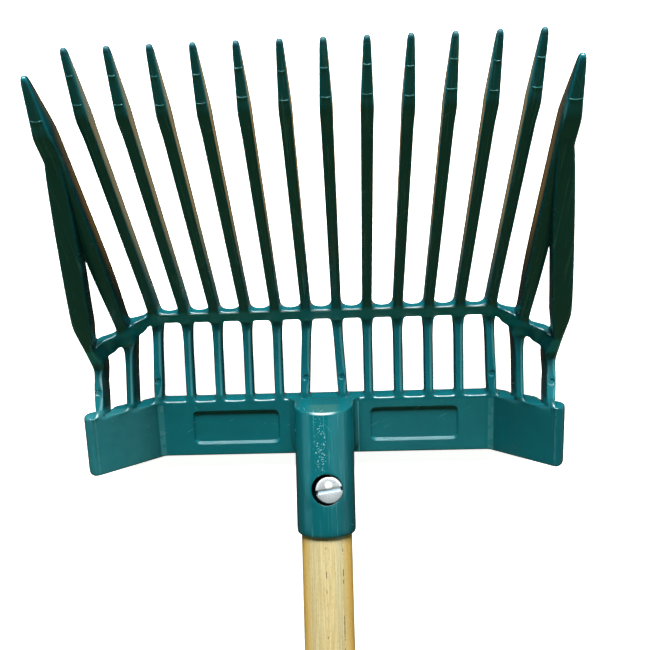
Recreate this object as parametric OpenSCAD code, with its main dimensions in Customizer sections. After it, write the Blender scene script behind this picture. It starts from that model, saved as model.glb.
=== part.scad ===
// Stable fork: a moulded plastic head with a comb of tines, on a round wooden handle.
// The fork lies on its back: tines towards +Y, handle towards -Y, hollow side up.
// Lengths are in millimetres and angles in degrees.

/* [Handle] */
// Diameter of the wooden handle
handle_d = 28; // [24:0.5:34]
// Length of the wooden handle
handle_len = 900; // [500:10:1400]
// Rounding of the handle's free end
handle_round = 8; // [2:0.5:11]
// Depth that the handle's other end is turned down to enter the socket
tenon_step = 0.4; // [0.2:0.1:1.5]

/* [Socket] */
// Wall of the socket round the handle
socket_wall = 2.8; // [1.8:0.1:4]
// Gap all round between the handle's turned end and the socket's bore
handle_clear = 0.1; // [0.05:0.05:0.4]
// Distance that the socket's straight flanks stand in from its round front
flank_inset = 0.4; // [0.2:0.1:1]
// Distance from the back plate's top edge down to the socket's mouth
socket_len = 73; // [66:1:110]
// Depth of the bore that the handle is pushed into
seat_depth = 51; // [44:1:55]

/* [Back plate] */
// Height of the back plate
plate_h = 33; // [26:1:40]
// Thickness of the back plate and its wings
plate_t = 8.5; // [6:0.5:11]
// Tilt of the back plate from the handle
plate_tilt = 12.5; // [8:0.5:18]
// Depth of the plate's top front edge behind the handle's axis
plate_drop = 11; // [10:0.5:14]
// Width of the recessed panel on each side of the socket
panel_w = 50; // [30:1:60]
// Height of the recessed panels
panel_h = 19.5; // [10:0.5:22]
// Depth of the recessed panels
panel_depth = 1.2; // [0.5:0.1:2.5]
// Corner radius of the recessed panels
panel_r = 3; // [1:0.5:4.5]
// Distance from the middle of the fork to the middle of a panel
panel_x = 51.5; // [44:0.5:60]

/* [Wings] */
// Angle that the wings fold forward from the plate
fold = 42.5; // [30:0.5:50]
// Flat width of a wing, from its fold to its round end
wing_w = 40.5; // [38:0.5:50]
// Spacing of the bars and tines along a wing
wing_pitch = 19; // [17:0.5:19.5]

/* [Short bars] */
// Spacing of the bars and tines between the wings
pitch = 17.2; // [14:0.1:20]
// Length of the middle bars, from the plate to the bend under the crossbar
bar_len = 45; // [36:0.5:60]
// Tilt of the middle bars from the handle
bar_lean = 7.7; // [4:0.1:12]
// Distance that the bend drops at each step out along a wing
wing_drop = 3.5; // [1:0.5:4.5]
// Width of a short bar
bar_w = 5.4; // [4:0.1:7]
// Width of the outermost short bars
end_bar_w = 6.6; // [5:0.1:8]
// Depth of a short bar, front to back
bar_d = 8; // [6:0.5:10]
// Chamfer along the edges of the short bars
bar_chamfer = 1.2; // [0.5:0.1:1.8]
// Distance from the middle to the foot of the two bars that stand on the socket
splay = 11; // [9:0.5:12]

/* [Crossbar] */
// Depth of the crossbar, front to back
cross_d = 5; // [4:0.5:7]
// Height of the crossbar's lower edge above the bend of the head
cross_foot = 1; // [0.5:0.5:4]
// Height of the crossbar
cross_h = 8; // [5:0.5:12]

/* [Tines] */
// Tilt of the tines from the handle
tine_tilt = 51.5; // [40:0.5:60]
// Length of a tine from the bend to its shoulder
tine_len = 136; // [110:1:200]
// Width of a tine
tine_w = 5.4; // [4:0.1:7]
// Depth of a tine at the crossbar, front to back
tine_root_d = 11; // [9:0.5:14]
// Depth of a tine just below its shoulder
tine_neck_d = 9; // [7.5:0.5:11]
// Width of a tine across its shoulder
shoulder_w = 6.2; // [5:0.1:8]
// Rise of the shoulder from the front of the tine
shoulder_rise = 1.5; // [0.5:0.1:2.5]
// Length over which the front rises to the shoulder
shoulder_run = 10; // [5:0.5:16]
// Length of the tip beyond the shoulder
tip_len = 28.5; // [20:0.5:40]
// Angle that the tip's front leans back from the tine
tip_bend = 11; // [6:0.5:13]
// Width of the tip's end
tip_w = 3; // [2:0.1:4]
// Thickness of the tip's end
tip_t = 3; // [2:0.1:4]

/* [Side braces] */
// Width of the braces and the posts that they stand on
brace_w = 7.2; // [5:0.1:8.5]
// Depth of the braces and posts, front to back
brace_d = 10; // [8:0.5:12]
// Height of the post above the bend of the head
post_len = 32; // [22:1:45]
// Distance from the bend to where a brace meets its tine
brace_reach = 127; // [95:1:134]

/* [Fixing screw] */
// Diameter of the screw's shank
screw_d = 8; // [5:0.5:10]
// Diameter of the screw's head
head_d = 14.5; // [12:0.1:17]
// Height of the screw's head
head_h = 5.5; // [4:0.1:6]
// Chamfer round the screw's head
head_chamfer = 0.7; // [0.2:0.1:1.2]
// Depth of the head's face below the front of the socket
head_sunk = 1.2; // [0.5:0.1:2.5]
// Width of the slot across the head
slot_w = 2.4; // [1:0.1:3]
// Depth of the slot across the head
slot_depth = 2; // [1:0.1:3]
// Turn of the slot from square across the fork
slot_turn = 9; // [-90:1:90]
// Gap all round between the screw's head and its recess
head_clear = 1; // [0.4:0.1:1.5]
// Gap all round between the screw's shank and its hole
shank_clear = 0.25; // [0.1:0.05:0.6]
// Distance from the plate's top edge down to the screw
screw_drop = 47.5; // [46:0.5:60]
// Size across the flats of the nut
nut_flats = 13; // [10:0.5:15]
// Height of the nut
nut_h = 6.5; // [4:0.5:7]
// Gap round the nut in its pocket
nut_clear = 0.2; // [0.1:0.05:0.4]
// Gap all round between the shank and the nut
thread_clear = 0.05; // [0.02:0.01:0.1]
// Plastic left between the socket's bore and the nut
nut_floor = 3; // [2:0.5:4]
// Diameter of the pad round the nut
nut_pad_d = 23; // [20:0.5:28]

/* [Hidden] */
$fn = 64;
head_green = "#14645f";
tine_green = "#0f4038";
wood = "#dccb96";
zinc = "#c6c8c9";

tine_count = 14;
bar_count = 16;
wing_bars = 2;
last_mid_bar = bar_count - wing_bars;

handle_r = handle_d / 2;
tenon_r = handle_r - tenon_step;
bore_r = tenon_r + handle_clear;
socket_r = bore_r + socket_wall;
fold_x = (last_mid_bar - wing_bars - 1) / 2 * pitch;
wing_step_x = wing_pitch * cos(fold);
wing_step_z = wing_pitch * sin(fold);
handle_top_y = seat_depth - socket_len;
handle_end_y = handle_top_y - handle_len;
head_seat_z = socket_r - head_sunk - head_h;
nut_seat_z = -bore_r - nut_floor;
pad_face_z = nut_seat_z - nut_h;
cross_top = cross_foot + cross_h;
root_run = 2 * tine_root_d + wing_bars * wing_drop;
tip_y = tine_len + tip_len * cos(tip_bend);
tip_front_z = shoulder_rise - tip_len * sin(tip_bend);
tip_back_z = tip_front_z - tip_t;

// Angle between the points of a wing's round end
nose_step = 15;

// Room for cutting: longer than any piece of the head
reach = 3 * (tine_len + tip_len);

// A place on a slope as [y, z]: a distance up the slope and a height out of it
function on_slope(tilt, along, out) =
    [along * cos(tilt) - out * sin(tilt), along * sin(tilt) + out * cos(tilt)];
function on_plate(along, out) = [0, -plate_drop] + on_slope(plate_tilt, along, out);
bend = [0, -plate_drop] + on_slope(bar_lean, bar_len, 0);
function on_comb(along, out) = bend + on_slope(tine_tilt, along, out);

// The base of the plate's back edge is what the fork lies on
floor_z = on_plate(-plate_h, -plate_t)[1];
middle_y = (on_comb(tip_y, tip_back_z)[0] + handle_end_y) / 2;

// Points [x, z] of a strip that folds with the wings, at a height out of its front
function fold_point(out) = [fold_x - out * tan(fold / 2), out];
function wing_point(across, out) =
    [fold_x + across * cos(fold) - out * sin(fold), across * sin(fold) + out * cos(fold)];

// Steps out along the wing of each bar and tine, negative on the left and zero between the wings
function bar_step(i) = i <= wing_bars ? i - wing_bars - 1 : i > last_mid_bar ? i - last_mid_bar : 0;
function bar_x(i) = bar_step(i) == 0 ? (i - (bar_count + 1) / 2) * pitch
                                     : sign(bar_step(i)) * fold_x + bar_step(i) * wing_step_x;
function bar_out(i) = abs(bar_step(i)) * wing_step_z;
function bend_drop(i) = abs(bar_step(i)) * wing_drop;
function tine_bar(i) = i + (bar_count - tine_count) / 2;

// Foot, top, tilt and length of each short bar, seen from the side
function bar_foot(i) = on_plate(0, bar_out(i));
function bar_top(i) = on_comb(-bend_drop(i), bar_out(i));
function bar_run(i) = bar_top(i) - bar_foot(i);
function bar_tilt(i) = atan2(bar_run(i)[1], bar_run(i)[0]);
function is_splayed(i) = abs(i - (bar_count + 1) / 2) < 1;
function bar_foot_x(i) = is_splayed(i) ? sign(bar_x(i)) * splay : bar_x(i);
function is_end_bar(i) = i == 1 || i == bar_count;

function two_digits(i) = str(i < 10 ? "0" : "", i);
function bar_name(i) = str("short_bar_", two_digits(i));
function tine_name(i) = str("tine_", two_digits(i));
sides = ["left", "right"];

// Stands the fork on the floor, with the origin under the middle of its box
module laid_down() {
    translate([0, -middle_y, -floor_z]) children();
}

// Frame of the plate: x across, y up the plate from its top edge, z out of its front
module plate_frame() {
    translate([0, 0, -plate_drop]) rotate([plate_tilt, 0, 0]) children();
}

// Frame of the comb: x across, y along the tines from the bend, z out of their front
module comb_frame() {
    translate([0, bend[0], bend[1]]) rotate([tine_tilt, 0, 0]) children();
}

// Everything on one side of the plane y = 0
module half_space(side) {
    translate([-reach, side > 0 ? 0 : -2 * reach, -reach]) cube(2 * reach);
}

// An outline in x and z drawn out along y, from top down over a height
module upright(top, height) {
    translate([0, top, 0]) rotate([90, 0, 0]) linear_extrude(height) children();
}

module on_side(s) {
    if (s == "left") mirror([1, 0, 0]) children();
    else children();
}

module y_cylinder(r, from, to) {
    translate([0, from, 0]) rotate([-90, 0, 0]) cylinder(r = r, h = to - from);
}

module z_cylinder(r, from, to, x = 0, y = 0) {
    translate([x, y, from]) cylinder(r = r, h = to - from);
}

// A strip between the two folds, with both ends cut on the folds' bisectors
module folded_middle(front, back) {
    f = fold_point(front);
    b = fold_point(back);
    polygon([[-f[0], f[1]], f, b, [-b[0], b[1]]]);
}

// The right wing's part of the same strip
module folded_wing(front, back, width) {
    polygon([fold_point(front), wing_point(width, front), wing_point(width, back), fold_point(back)]);
}

module crossbar_wing_outline(front, back) {
    folded_wing(front, back, wing_bars * wing_pitch + end_bar_w / 2);
}

// The notch in the front of a tine or post, open in front of the crossbar
module crossbar_notch() {
    comb_frame() upright(cross_top, cross_h) {
        folded_middle(cross_h, -cross_d);
        for (side = [0, 1]) mirror([side, 0, 0]) crossbar_wing_outline(cross_h, -cross_d);
    }
}

module crossbar() {
    color(head_green) laid_down() comb_frame()
        upright(cross_top, cross_h) folded_middle(0, -cross_d);
}

module side_crossbar(s) {
    color(head_green) laid_down() comb_frame() on_side(s)
        upright(cross_top, cross_h) crossbar_wing_outline(0, -cross_d);
}

// Cuts a member off at its bend over bar i, on the bisector of the bar and the comb
module past_bend(i, side) {
    comb_frame() translate([0, -bend_drop(i), bar_out(i)])
        rotate([(bar_tilt(i) - tine_tilt) / 2, 0, 0]) half_space(side);
}

module chamfered_section(w, d, c) {
    polygon([
        [-w / 2 + c, 0], [w / 2 - c, 0], [w / 2, -c], [w / 2, -d + c],
        [w / 2 - c, -d], [-w / 2 + c, -d], [-w / 2, -d + c], [-w / 2, -c]
    ]);
}

module short_bar(i) {
    foot = bar_foot(i);
    length = norm(bar_run(i));
    heading = atan2(bar_foot_x(i) - bar_x(i), length);
    w = is_end_bar(i) ? end_bar_w : bar_w;
    color(head_green) laid_down() difference() {
        translate([bar_foot_x(i), foot[0], foot[1]]) rotate([bar_tilt(i), 0, 0]) rotate([0, 0, heading])
            upright(length + bar_d, length + 2 * bar_d) chamfered_section(w, bar_d, bar_chamfer);
        plate_frame() half_space(-1);
        past_bend(i, 1);
    }
}

// Outlines of a tine from the side, as y and z, and from the front, as x and y
module tine_side() {
    polygon([
        [-root_run, 0], [tine_len - shoulder_run, 0], [tine_len, shoulder_rise], [tip_y, tip_front_z],
        [tip_y, tip_back_z], [tine_len, -tine_neck_d], [-root_run, -tine_root_d]
    ]);
}

module tine_front() {
    right = [
        [tine_w / 2, -root_run], [tine_w / 2, tine_len - shoulder_run],
        [shoulder_w / 2, tine_len], [tip_w / 2, tip_y]
    ];
    left = [for (n = [len(right) - 1 : -1 : 0]) [-right[n][0], right[n][1]]];
    polygon(concat(right, left));
}

module tine_blank() {
    intersection() {
        rotate([90, 0, 90]) linear_extrude(2 * shoulder_w, center = true) tine_side();
        translate([0, 0, -reach]) linear_extrude(2 * reach) tine_front();
    }
}

module tine(i) {
    b = tine_bar(i);
    color(tine_green) laid_down() difference() {
        comb_frame() translate([bar_x(b), 0, bar_out(b)]) tine_blank();
        past_bend(b, -1);
        crossbar_notch();
    }
}

// The right post stands on the crossbar's end, over the outermost bar
module post(s) {
    color(tine_green) laid_down() on_side(s) difference() {
        comb_frame() translate([bar_x(bar_count), 0, bar_out(bar_count)])
            upright(post_len, post_len + root_run) chamfered_section(brace_w, brace_d, bar_chamfer);
        past_bend(bar_count, -1);
        crossbar_notch();
    }
}

// The brace leans from the top of the post to the side of the outermost tine
module brace(s) {
    b = tine_bar(tine_count);
    run = [bar_x(b) - bar_x(bar_count), brace_reach - post_len, bar_out(b) - bar_out(bar_count)];
    heading = atan2(-run[0], run[1]);
    slope = atan2(run[2], norm([run[0], run[1]]));
    color(tine_green) laid_down() on_side(s) comb_frame() difference() {
        translate([bar_x(bar_count), post_len, bar_out(bar_count)]) rotate([slope, 0, heading])
            upright(norm(run), norm(run) + brace_d) chamfered_section(brace_w, brace_d, bar_chamfer);
        translate([0, post_len, 0]) half_space(-1);
        translate([bar_x(b) + tine_w / 2 - 2 * reach, -reach, -reach]) cube(2 * reach);
    }
}

module panel_recess() {
    w = panel_w - 2 * panel_r;
    h = panel_h - 2 * panel_r;
    translate([0, -plate_h / 2, -panel_depth]) linear_extrude(2 * panel_depth) {
        square([panel_w, h], center = true);
        square([w, panel_h], center = true);
        for (x = [-w / 2, w / 2], y = [-h / 2, h / 2]) translate([x, y]) circle(panel_r);
    }
}

module back_plate() {
    color(head_green) laid_down() plate_frame() difference() {
        upright(0, plate_h) folded_middle(0, -plate_t);
        for (x = [-panel_x, panel_x]) translate([x, 0, 0]) panel_recess();
    }
}

// The wing ends in a half round over its whole thickness
module wing(s) {
    nose = [for (a = [90 : -nose_step : -90])
        wing_point(wing_w + plate_t / 2 * cos(a), plate_t / 2 * (sin(a) - 1))];
    color(head_green) laid_down() plate_frame() on_side(s)
        upright(0, plate_h) polygon(concat([fold_point(0)], nose, [fold_point(-plate_t)]));
}

module screw_hole(r) {
    z_cylinder(r, -2 * socket_r, 2 * socket_r, 0, -screw_drop);
}

// The recess that the screw's head sits in, through the socket's wall and into the wood
module head_recess() {
    z_cylinder(head_d / 2 + head_clear, head_seat_z, 2 * socket_r, 0, -screw_drop);
}

module hexagon(flats, height) {
    cylinder(d = flats / cos(30), h = height, $fn = 6);
}

// The socket's straight flanks, from the handle's axis down to the front of the plate
module socket_flanks() {
    half_w = socket_r - flank_inset;
    intersection() {
        plate_frame() translate([-half_w, -plate_h, 0]) cube([2 * half_w, plate_h, reach]);
        translate([-reach, -reach, -2 * reach]) cube(2 * reach);
    }
}

module socket() {
    color(head_green) laid_down() difference() {
        union() {
            y_cylinder(socket_r, -socket_len, socket_r);
            socket_flanks();
            z_cylinder(nut_pad_d / 2, pad_face_z, 0, 0, -screw_drop);
        }
        plate_frame() half_space(1);
        plate_frame() translate([-reach, -plate_h, -reach]) cube([2 * reach, reach, reach]);
        y_cylinder(bore_r, -2 * socket_len, handle_top_y);
        head_recess();
        screw_hole(screw_d / 2 + shank_clear);
        translate([0, -screw_drop, pad_face_z - nut_h]) hexagon(nut_flats + 2 * nut_clear, 2 * nut_h);
    }
}

module handle() {
    color(wood) laid_down() difference() {
        translate([0, handle_end_y, 0]) rotate([-90, 0, 0]) rotate_extrude() {
            translate([0, handle_round]) {
                square([handle_r, handle_len - seat_depth - handle_round]);
                square([tenon_r, handle_len - handle_round]);
            }
            square([handle_r - handle_round, handle_round]);
            intersection() {
                translate([handle_r - handle_round, handle_round]) circle(handle_round);
                square([handle_r, handle_round]);
            }
        }
        head_recess();
        screw_hole(screw_d / 2 + shank_clear);
    }
}

module fixing_screw() {
    top = head_seat_z + head_h;
    color(zinc) laid_down() translate([0, -screw_drop, 0]) difference() {
        union() {
            z_cylinder(screw_d / 2, pad_face_z, head_seat_z);
            z_cylinder(head_d / 2, head_seat_z, top - head_chamfer);
            translate([0, 0, top - head_chamfer])
                cylinder(r1 = head_d / 2, r2 = head_d / 2 - head_chamfer, h = head_chamfer);
        }
        rotate([0, 0, slot_turn]) translate([-head_d, -slot_w / 2, top - slot_depth])
            cube([2 * head_d, slot_w, 2 * slot_depth]);
    }
}

module nut() {
    color(zinc) laid_down() translate([0, -screw_drop, pad_face_z]) difference() {
        hexagon(nut_flats, nut_h);
        translate([0, 0, -nut_h]) cylinder(r = screw_d / 2 + thread_clear, h = 3 * nut_h);
    }
}

handle();
socket();
fixing_screw();
nut();
back_plate();
crossbar();
for (s = sides) {
    wing(s);
    side_crossbar(s);
    post(s);
    brace(s);
}
for (i = [1 : bar_count]) short_bar(i);
for (i = [1 : tine_count]) tine(i);
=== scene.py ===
"""Dresses the stable fork: a moulded head with a comb of tines, a wooden handle, a screw and its nut."""

import logging
import math
from dataclasses import dataclass, field
from enum import Enum, IntEnum
from functools import lru_cache

import bmesh
import bpy
from mathutils import Matrix, Vector


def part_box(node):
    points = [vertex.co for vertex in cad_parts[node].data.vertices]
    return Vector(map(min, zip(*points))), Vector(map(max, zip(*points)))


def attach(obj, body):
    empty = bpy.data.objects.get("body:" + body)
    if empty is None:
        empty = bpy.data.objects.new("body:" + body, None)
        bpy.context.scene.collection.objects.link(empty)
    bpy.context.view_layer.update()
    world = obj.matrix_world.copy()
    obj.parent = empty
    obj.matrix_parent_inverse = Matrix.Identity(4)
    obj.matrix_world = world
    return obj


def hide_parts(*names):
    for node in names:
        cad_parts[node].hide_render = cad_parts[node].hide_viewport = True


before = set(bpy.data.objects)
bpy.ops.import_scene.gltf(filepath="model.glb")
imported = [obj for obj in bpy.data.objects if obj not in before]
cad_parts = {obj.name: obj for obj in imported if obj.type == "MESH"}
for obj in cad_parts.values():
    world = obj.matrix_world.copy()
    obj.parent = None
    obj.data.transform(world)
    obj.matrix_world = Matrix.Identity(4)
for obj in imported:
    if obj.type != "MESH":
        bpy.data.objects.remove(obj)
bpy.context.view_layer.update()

LOG = logging.getLogger("stable_fork")
MM = 0.001
X = Vector((1.0, 0.0, 0.0))
Y = Vector((0.0, 1.0, 0.0))
Z = Vector((0.0, 0.0, 1.0))

Tree = bpy.types.NodeTree
Wire = bpy.types.NodeSocket
Material = bpy.types.Material
Piece = bpy.types.Object
Mesh = bmesh.types.BMesh
Corner = bmesh.types.BMVert
Crossing = tuple[int, int]
Triple = tuple[float, float, float]
Ring = tuple[float, float, float, float]
Profile = tuple[tuple[float, float], ...]


class Slot(Enum):
    """The record's material slots of the pieces that are made here."""

    HEAD = "head_plastic"
    STEEL = "zinc_steel"


class Layer(Enum):
    """The four levels of the moulding's cage, from its front to its back."""

    FRONT = 0
    FRONT_RIM = 1
    BACK_RIM = 2
    BACK = 3


class Show(Enum):
    """Which part of a finish a studio light brings out."""

    ALL = 0
    DIFFUSE = 1
    GLOSS = 2


class Ramp(Enum):
    """How a share rises from one bound to the other."""

    SMOOTH = "SMOOTHSTEP"
    STRAIGHT = "LINEAR"


class Row(IntEnum):
    """The rows of the moulding's cage that its parts start from, counted up from the plate's bottom."""

    BOTTOM = 0
    FOOT = 4
    MARK = 6
    UPPER = 10
    BEND = 11
    CROSS = 12
    TOP = 13
    STUB = 14
    BRACE = 15
    END = 19


@lru_cache(maxsize=1)
def handle_origin() -> Vector:
    """Find the point on the handle's axis beside the plate's top edge, in metres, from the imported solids."""
    axis = sum(corner.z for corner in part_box("handle")) / 2
    return Vector((0.0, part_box("socket")[0].y + ForkSizes.socket_len * MM, axis))


def linear(code: str) -> tuple[float, float, float, float]:
    """Turn an sRGB hex colour into linear light.

    Args:
        code: The colour as six hex digits after a hash sign.

    Returns:
        Red, green, blue and an alpha of one.
    """
    parts = [int(code[i:i + 2], 16) / 255 for i in (1, 3, 5)]
    light = [p / 12.92 if p <= 0.04045 else ((p + 0.055) / 1.055) ** 2.4 for p in parts]
    return (light[0], light[1], light[2], 1.0)


def fill(node: bpy.types.Node, values: dict) -> None:
    """Fill or link a node's inputs.

    Args:
        node: The node.
        values: Inputs by name or index, each a value, a hex colour, or the socket, measure or place that
            feeds it.
    """
    for key, value in values.items():
        value = getattr(value, "wire", value)
        if isinstance(value, Wire):
            node.id_data.links.new(value, node.inputs[key])
        else:
            node.inputs[key].default_value = linear(value) if isinstance(value, str) else value


def add_node(tree: Tree, kind: str, values: dict | None = None, **settings: object) -> bpy.types.Node:
    """Add a node, set its properties and fill or link its inputs.

    Args:
        tree: The shader or geometry tree that the node goes into.
        kind: Blender's name for the kind of node.
        values: Its inputs, as fill takes them.
        settings: The node's own properties.

    Returns:
        The new node.
    """
    node = tree.nodes.new(kind)
    for name, value in settings.items():
        setattr(node, name, value)
    fill(node, values or {})
    return node


def mesh_object(name: str, bm: Mesh) -> Piece:
    """Make a smooth-shaded object at the origin from a finished bmesh.

    Args:
        name: The piece's name.
        bm: The mesh, in metres in the row frame, which is freed.

    Returns:
        The new object, linked to the scene.
    """
    mesh = bpy.data.meshes.new(name)
    bm.to_mesh(mesh)
    bm.free()
    mesh.shade_smooth()
    obj = bpy.data.objects.new(name, mesh)
    bpy.context.scene.collection.objects.link(obj)
    return obj


def placed_object(name: str, bm: Mesh, closed: bool = True) -> Piece:
    """Move a mesh to the row frame and make it an object.

    Args:
        name: The piece's name.
        bm: The mesh, in millimetres in the handle's frame, which is freed.
        closed: Whether the mesh is closed, so that its faces can be turned outwards.

    Returns:
        The new object.
    """
    for v in bm.verts:
        v.co = ForkSizes.place(v.co)
    if closed:
        bmesh.ops.recalc_face_normals(bm, faces=bm.faces)
    return mesh_object(name, bm)


def join_loops(bm: Mesh, *loops: list[Corner]) -> None:
    """Join each closed loop to the next, which has as many points, with a strip of faces.

    Args:
        bm: The mesh that holds them.
        loops: The loops in order.
    """
    for low, high in zip(loops, loops[1:]):
        for n in range(len(low)):
            m = (n + 1) % len(low)
            bm.faces.new([low[n], low[m], high[m], high[n]])


def settle(obj: Piece) -> Piece:
    """Turn an object's evaluated modifiers into its own plain mesh.

    Args:
        obj: The object with its modifiers set.

    Returns:
        The same object with a plain mesh and no modifiers.
    """
    graph = bpy.context.evaluated_depsgraph_get()
    plain = bpy.data.meshes.new_from_object(obj.evaluated_get(graph))
    plain.name = obj.name
    obj.modifiers.clear()
    obj.data = plain
    return obj


def subdivide(obj: Piece, levels: int) -> Piece:
    """Round a cage by subdivision and keep the result as its mesh.

    Args:
        obj: The object that holds the cage.
        levels: How many times each face is divided.

    Returns:
        The same object.
    """
    modifier = obj.modifiers.new("round", "SUBSURF")
    modifier.levels = levels
    modifier.render_levels = levels
    return settle(obj)


def new_tree(name: str, inputs: dict[str, str]) -> tuple[Tree, bpy.types.bpy_prop_collection]:
    """Start a geometry tree with named inputs.

    Args:
        name: The tree's name.
        inputs: The kind of each input's socket, by the input's name.

    Returns:
        The tree and the sockets that give its inputs.
    """
    tree = bpy.data.node_groups.new(name, "GeometryNodeTree")
    for label, kind in {"Geometry": "Geometry", **inputs}.items():
        tree.interface.new_socket(label, in_out="INPUT", socket_type=f"NodeSocket{kind}")
    tree.interface.new_socket("Geometry", in_out="OUTPUT", socket_type="NodeSocketGeometry")
    return tree, add_node(tree, "NodeGroupInput").outputs


def stand_copies(tree: Tree, points: Wire, cage: Piece, turn: Wire | Triple = (0.0, 0.0, 0.0)) -> Wire:
    """Stand a copy of a cage on each point, as plain mesh.

    Args:
        tree: The geometry tree.
        points: The points.
        cage: The object that is copied.
        turn: The turn of each copy, as Euler angles.

    Returns:
        The socket that gives the copies.
    """
    shape = add_node(tree, "GeometryNodeObjectInfo", {"Object": cage}).outputs["Geometry"]
    values = {"Points": points, "Instance": shape, "Rotation": turn}
    stand = add_node(tree, "GeometryNodeInstanceOnPoints", values).outputs["Instances"]
    return add_node(tree, "GeometryNodeRealizeInstances", {"Geometry": stand}).outputs["Geometry"]


def run_tree(obj: Piece, tree: Tree, values: dict[str, object], *cages: Piece) -> None:
    """Run a geometry tree on an object and keep the result as its mesh.

    Args:
        obj: The object.
        tree: The geometry tree.
        values: The tree's inputs by name.
        cages: The objects that the tree copies, which are then removed.
    """
    modifier = obj.modifiers.new(tree.name, "NODES")
    modifier.node_group = tree
    for item in tree.interface.items_tree:
        if item.name in values:
            modifier[item.identifier] = values[item.name]
    settle(obj)
    for cage in cages:
        bpy.data.objects.remove(cage)


def give_finish(obj: Piece, material: Material, slot: Slot, *nodes: str) -> None:
    """Give a piece its finish, its body and the nodes that it stands for.

    Args:
        obj: The piece.
        material: Its finish.
        slot: The record's slot that the finish belongs to; not used.
        nodes: The solids that the piece replaces.
    """
    obj.data.materials.clear()
    obj.data.materials.append(material)
    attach(obj, "root")
    if nodes:
        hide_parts(*nodes)
    LOG.info("%s: %d faces", obj.name, len(obj.data.polygons))


@dataclass(frozen=True)
class Measure:
    """A number at every place of a finish. Sums with it add the nodes that work them out."""

    wire: Wire

    def work_out(self, operation: str, other: "Measure | float" = 0.0) -> "Measure":
        """Add the node of one sum."""
        node = add_node(self.wire.id_data, "ShaderNodeMath", {0: self, 1: other}, operation=operation)
        return Measure(node.outputs["Value"])

    def __mul__(self, other: "Measure | float") -> "Measure":
        """Multiply."""
        return self.work_out("MULTIPLY", other)

    def __add__(self, other: "Measure | float") -> "Measure":
        """Add."""
        return self.work_out("ADD", other)

    def __sub__(self, other: "Measure | float") -> "Measure":
        """Subtract."""
        return self.work_out("SUBTRACT", other)

    def __mod__(self, other: "Measure | float") -> "Measure":
        """Give what is left over whole steps."""
        return self.work_out("FLOORED_MODULO", other)

    def __or__(self, other: "Measure | float") -> "Measure":
        """Give the greater of the two."""
        return self.work_out("MAXIMUM", other)

    def __abs__(self) -> "Measure":
        """Leave off the sign."""
        return self.work_out("ABSOLUTE")

    def band(self, low: float, high: float, first: float = 0.0, last: float = 1.0, ramp: Ramp = Ramp.SMOOTH,
             ) -> "Measure":
        """Turn the number into a share that rises from one bound to the other.

        Args:
            low: The bound where the rise starts, which may be the greater one.
            high: The bound where it ends.
            first: The share at the start.
            last: The share at the end.
            ramp: How it rises.

        Returns:
            The share.
        """
        values = {"Value": self, "From Min": low, "From Max": high, "To Min": first, "To Max": last}
        node = add_node(self.wire.id_data, "ShaderNodeMapRange", values, interpolation_type=ramp.value)
        return Measure(node.outputs["Result"])

    def span(self, low: float, high: float, soft: float) -> "Measure":
        """Give 1 between two bounds and 0 past them, with a change of the given width inside each."""
        return self.band(low, low + soft) * self.band(high, high - soft)

    def paint(self, under: Wire | str, over: Wire | str) -> Wire:
        """Lay the second colour over the first by this share."""
        values = {0: self, 6: under, 7: over}
        return add_node(self.wire.id_data, "ShaderNodeMix", values, data_type="RGBA").outputs[2]


@dataclass(frozen=True)
class Place:
    """A point or a direction at every place of a finish. Sums with it add the nodes that work them out."""

    wire: Wire

    def work_out(self, operation: str, other: Vector | Triple = (0.0, 0.0, 0.0)) -> bpy.types.Node:
        """Add the node of one sum."""
        return add_node(self.wire.id_data, "ShaderNodeVectorMath", {0: self, 1: other}, operation=operation)

    def __sub__(self, other: Vector) -> "Place":
        """Subtract a point."""
        return Place(self.work_out("SUBTRACT", other).outputs["Vector"])

    def __mul__(self, other: Triple) -> "Place":
        """Multiply each axis by its own number."""
        return Place(self.work_out("MULTIPLY", other).outputs["Vector"])

    def __matmul__(self, way: Vector) -> Measure:
        """Measure along a direction."""
        return Measure(self.work_out("DOT_PRODUCT", way).outputs["Value"])

    def __abs__(self) -> Measure:
        """Measure the length."""
        return Measure(self.work_out("LENGTH").outputs["Value"])

    def grain(self, size_mm: float, detail: float = 2.0, stretch: Triple = (1.0, 1.0, 1.0),
              turn: Triple = (0.0, 0.0, 0.0)) -> Measure:
        """Give an uneven grain.

        Args:
            size_mm: The size of the grain.
            detail: How much finer detail it carries.
            stretch: How many times longer the grain is each way.
            turn: The angles that the grain is turned by, in degrees.

        Returns:
            The grain, from 0 to 1.
        """
        tree = self.wire.id_data
        angles = [math.radians(a) for a in turn]
        turned = add_node(tree, "ShaderNodeMapping", {"Vector": self, "Rotation": angles})
        scaled = add_node(tree, "ShaderNodeMapping", {"Vector": turned.outputs["Vector"],
                                                      "Scale": [1 / k for k in stretch]})
        values = {"Vector": scaled.outputs["Vector"], "Scale": 1 / (size_mm * MM), "Detail": detail}
        return Measure(add_node(tree, "ShaderNodeTexNoise", values).outputs["Fac"])


@dataclass(frozen=True)
class Surface:
    """What a finish reads: object coordinates, the place in the handle's frame in mm, and the normal."""

    place: Place
    at: Place
    facing: Place

    @property
    def away(self) -> Measure:
        """Distance from the fork's middle."""
        return abs(self.at @ X)

    def bump(self, height: Measure, strength: Measure | float, distance: float) -> Wire:
        """Give the normal over a relief of a given strength and depth in metres."""
        values = {"Height": height, "Strength": strength, "Distance": distance}
        return add_node(self.place.wire.id_data, "ShaderNodeBump", values).outputs["Normal"]


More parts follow.
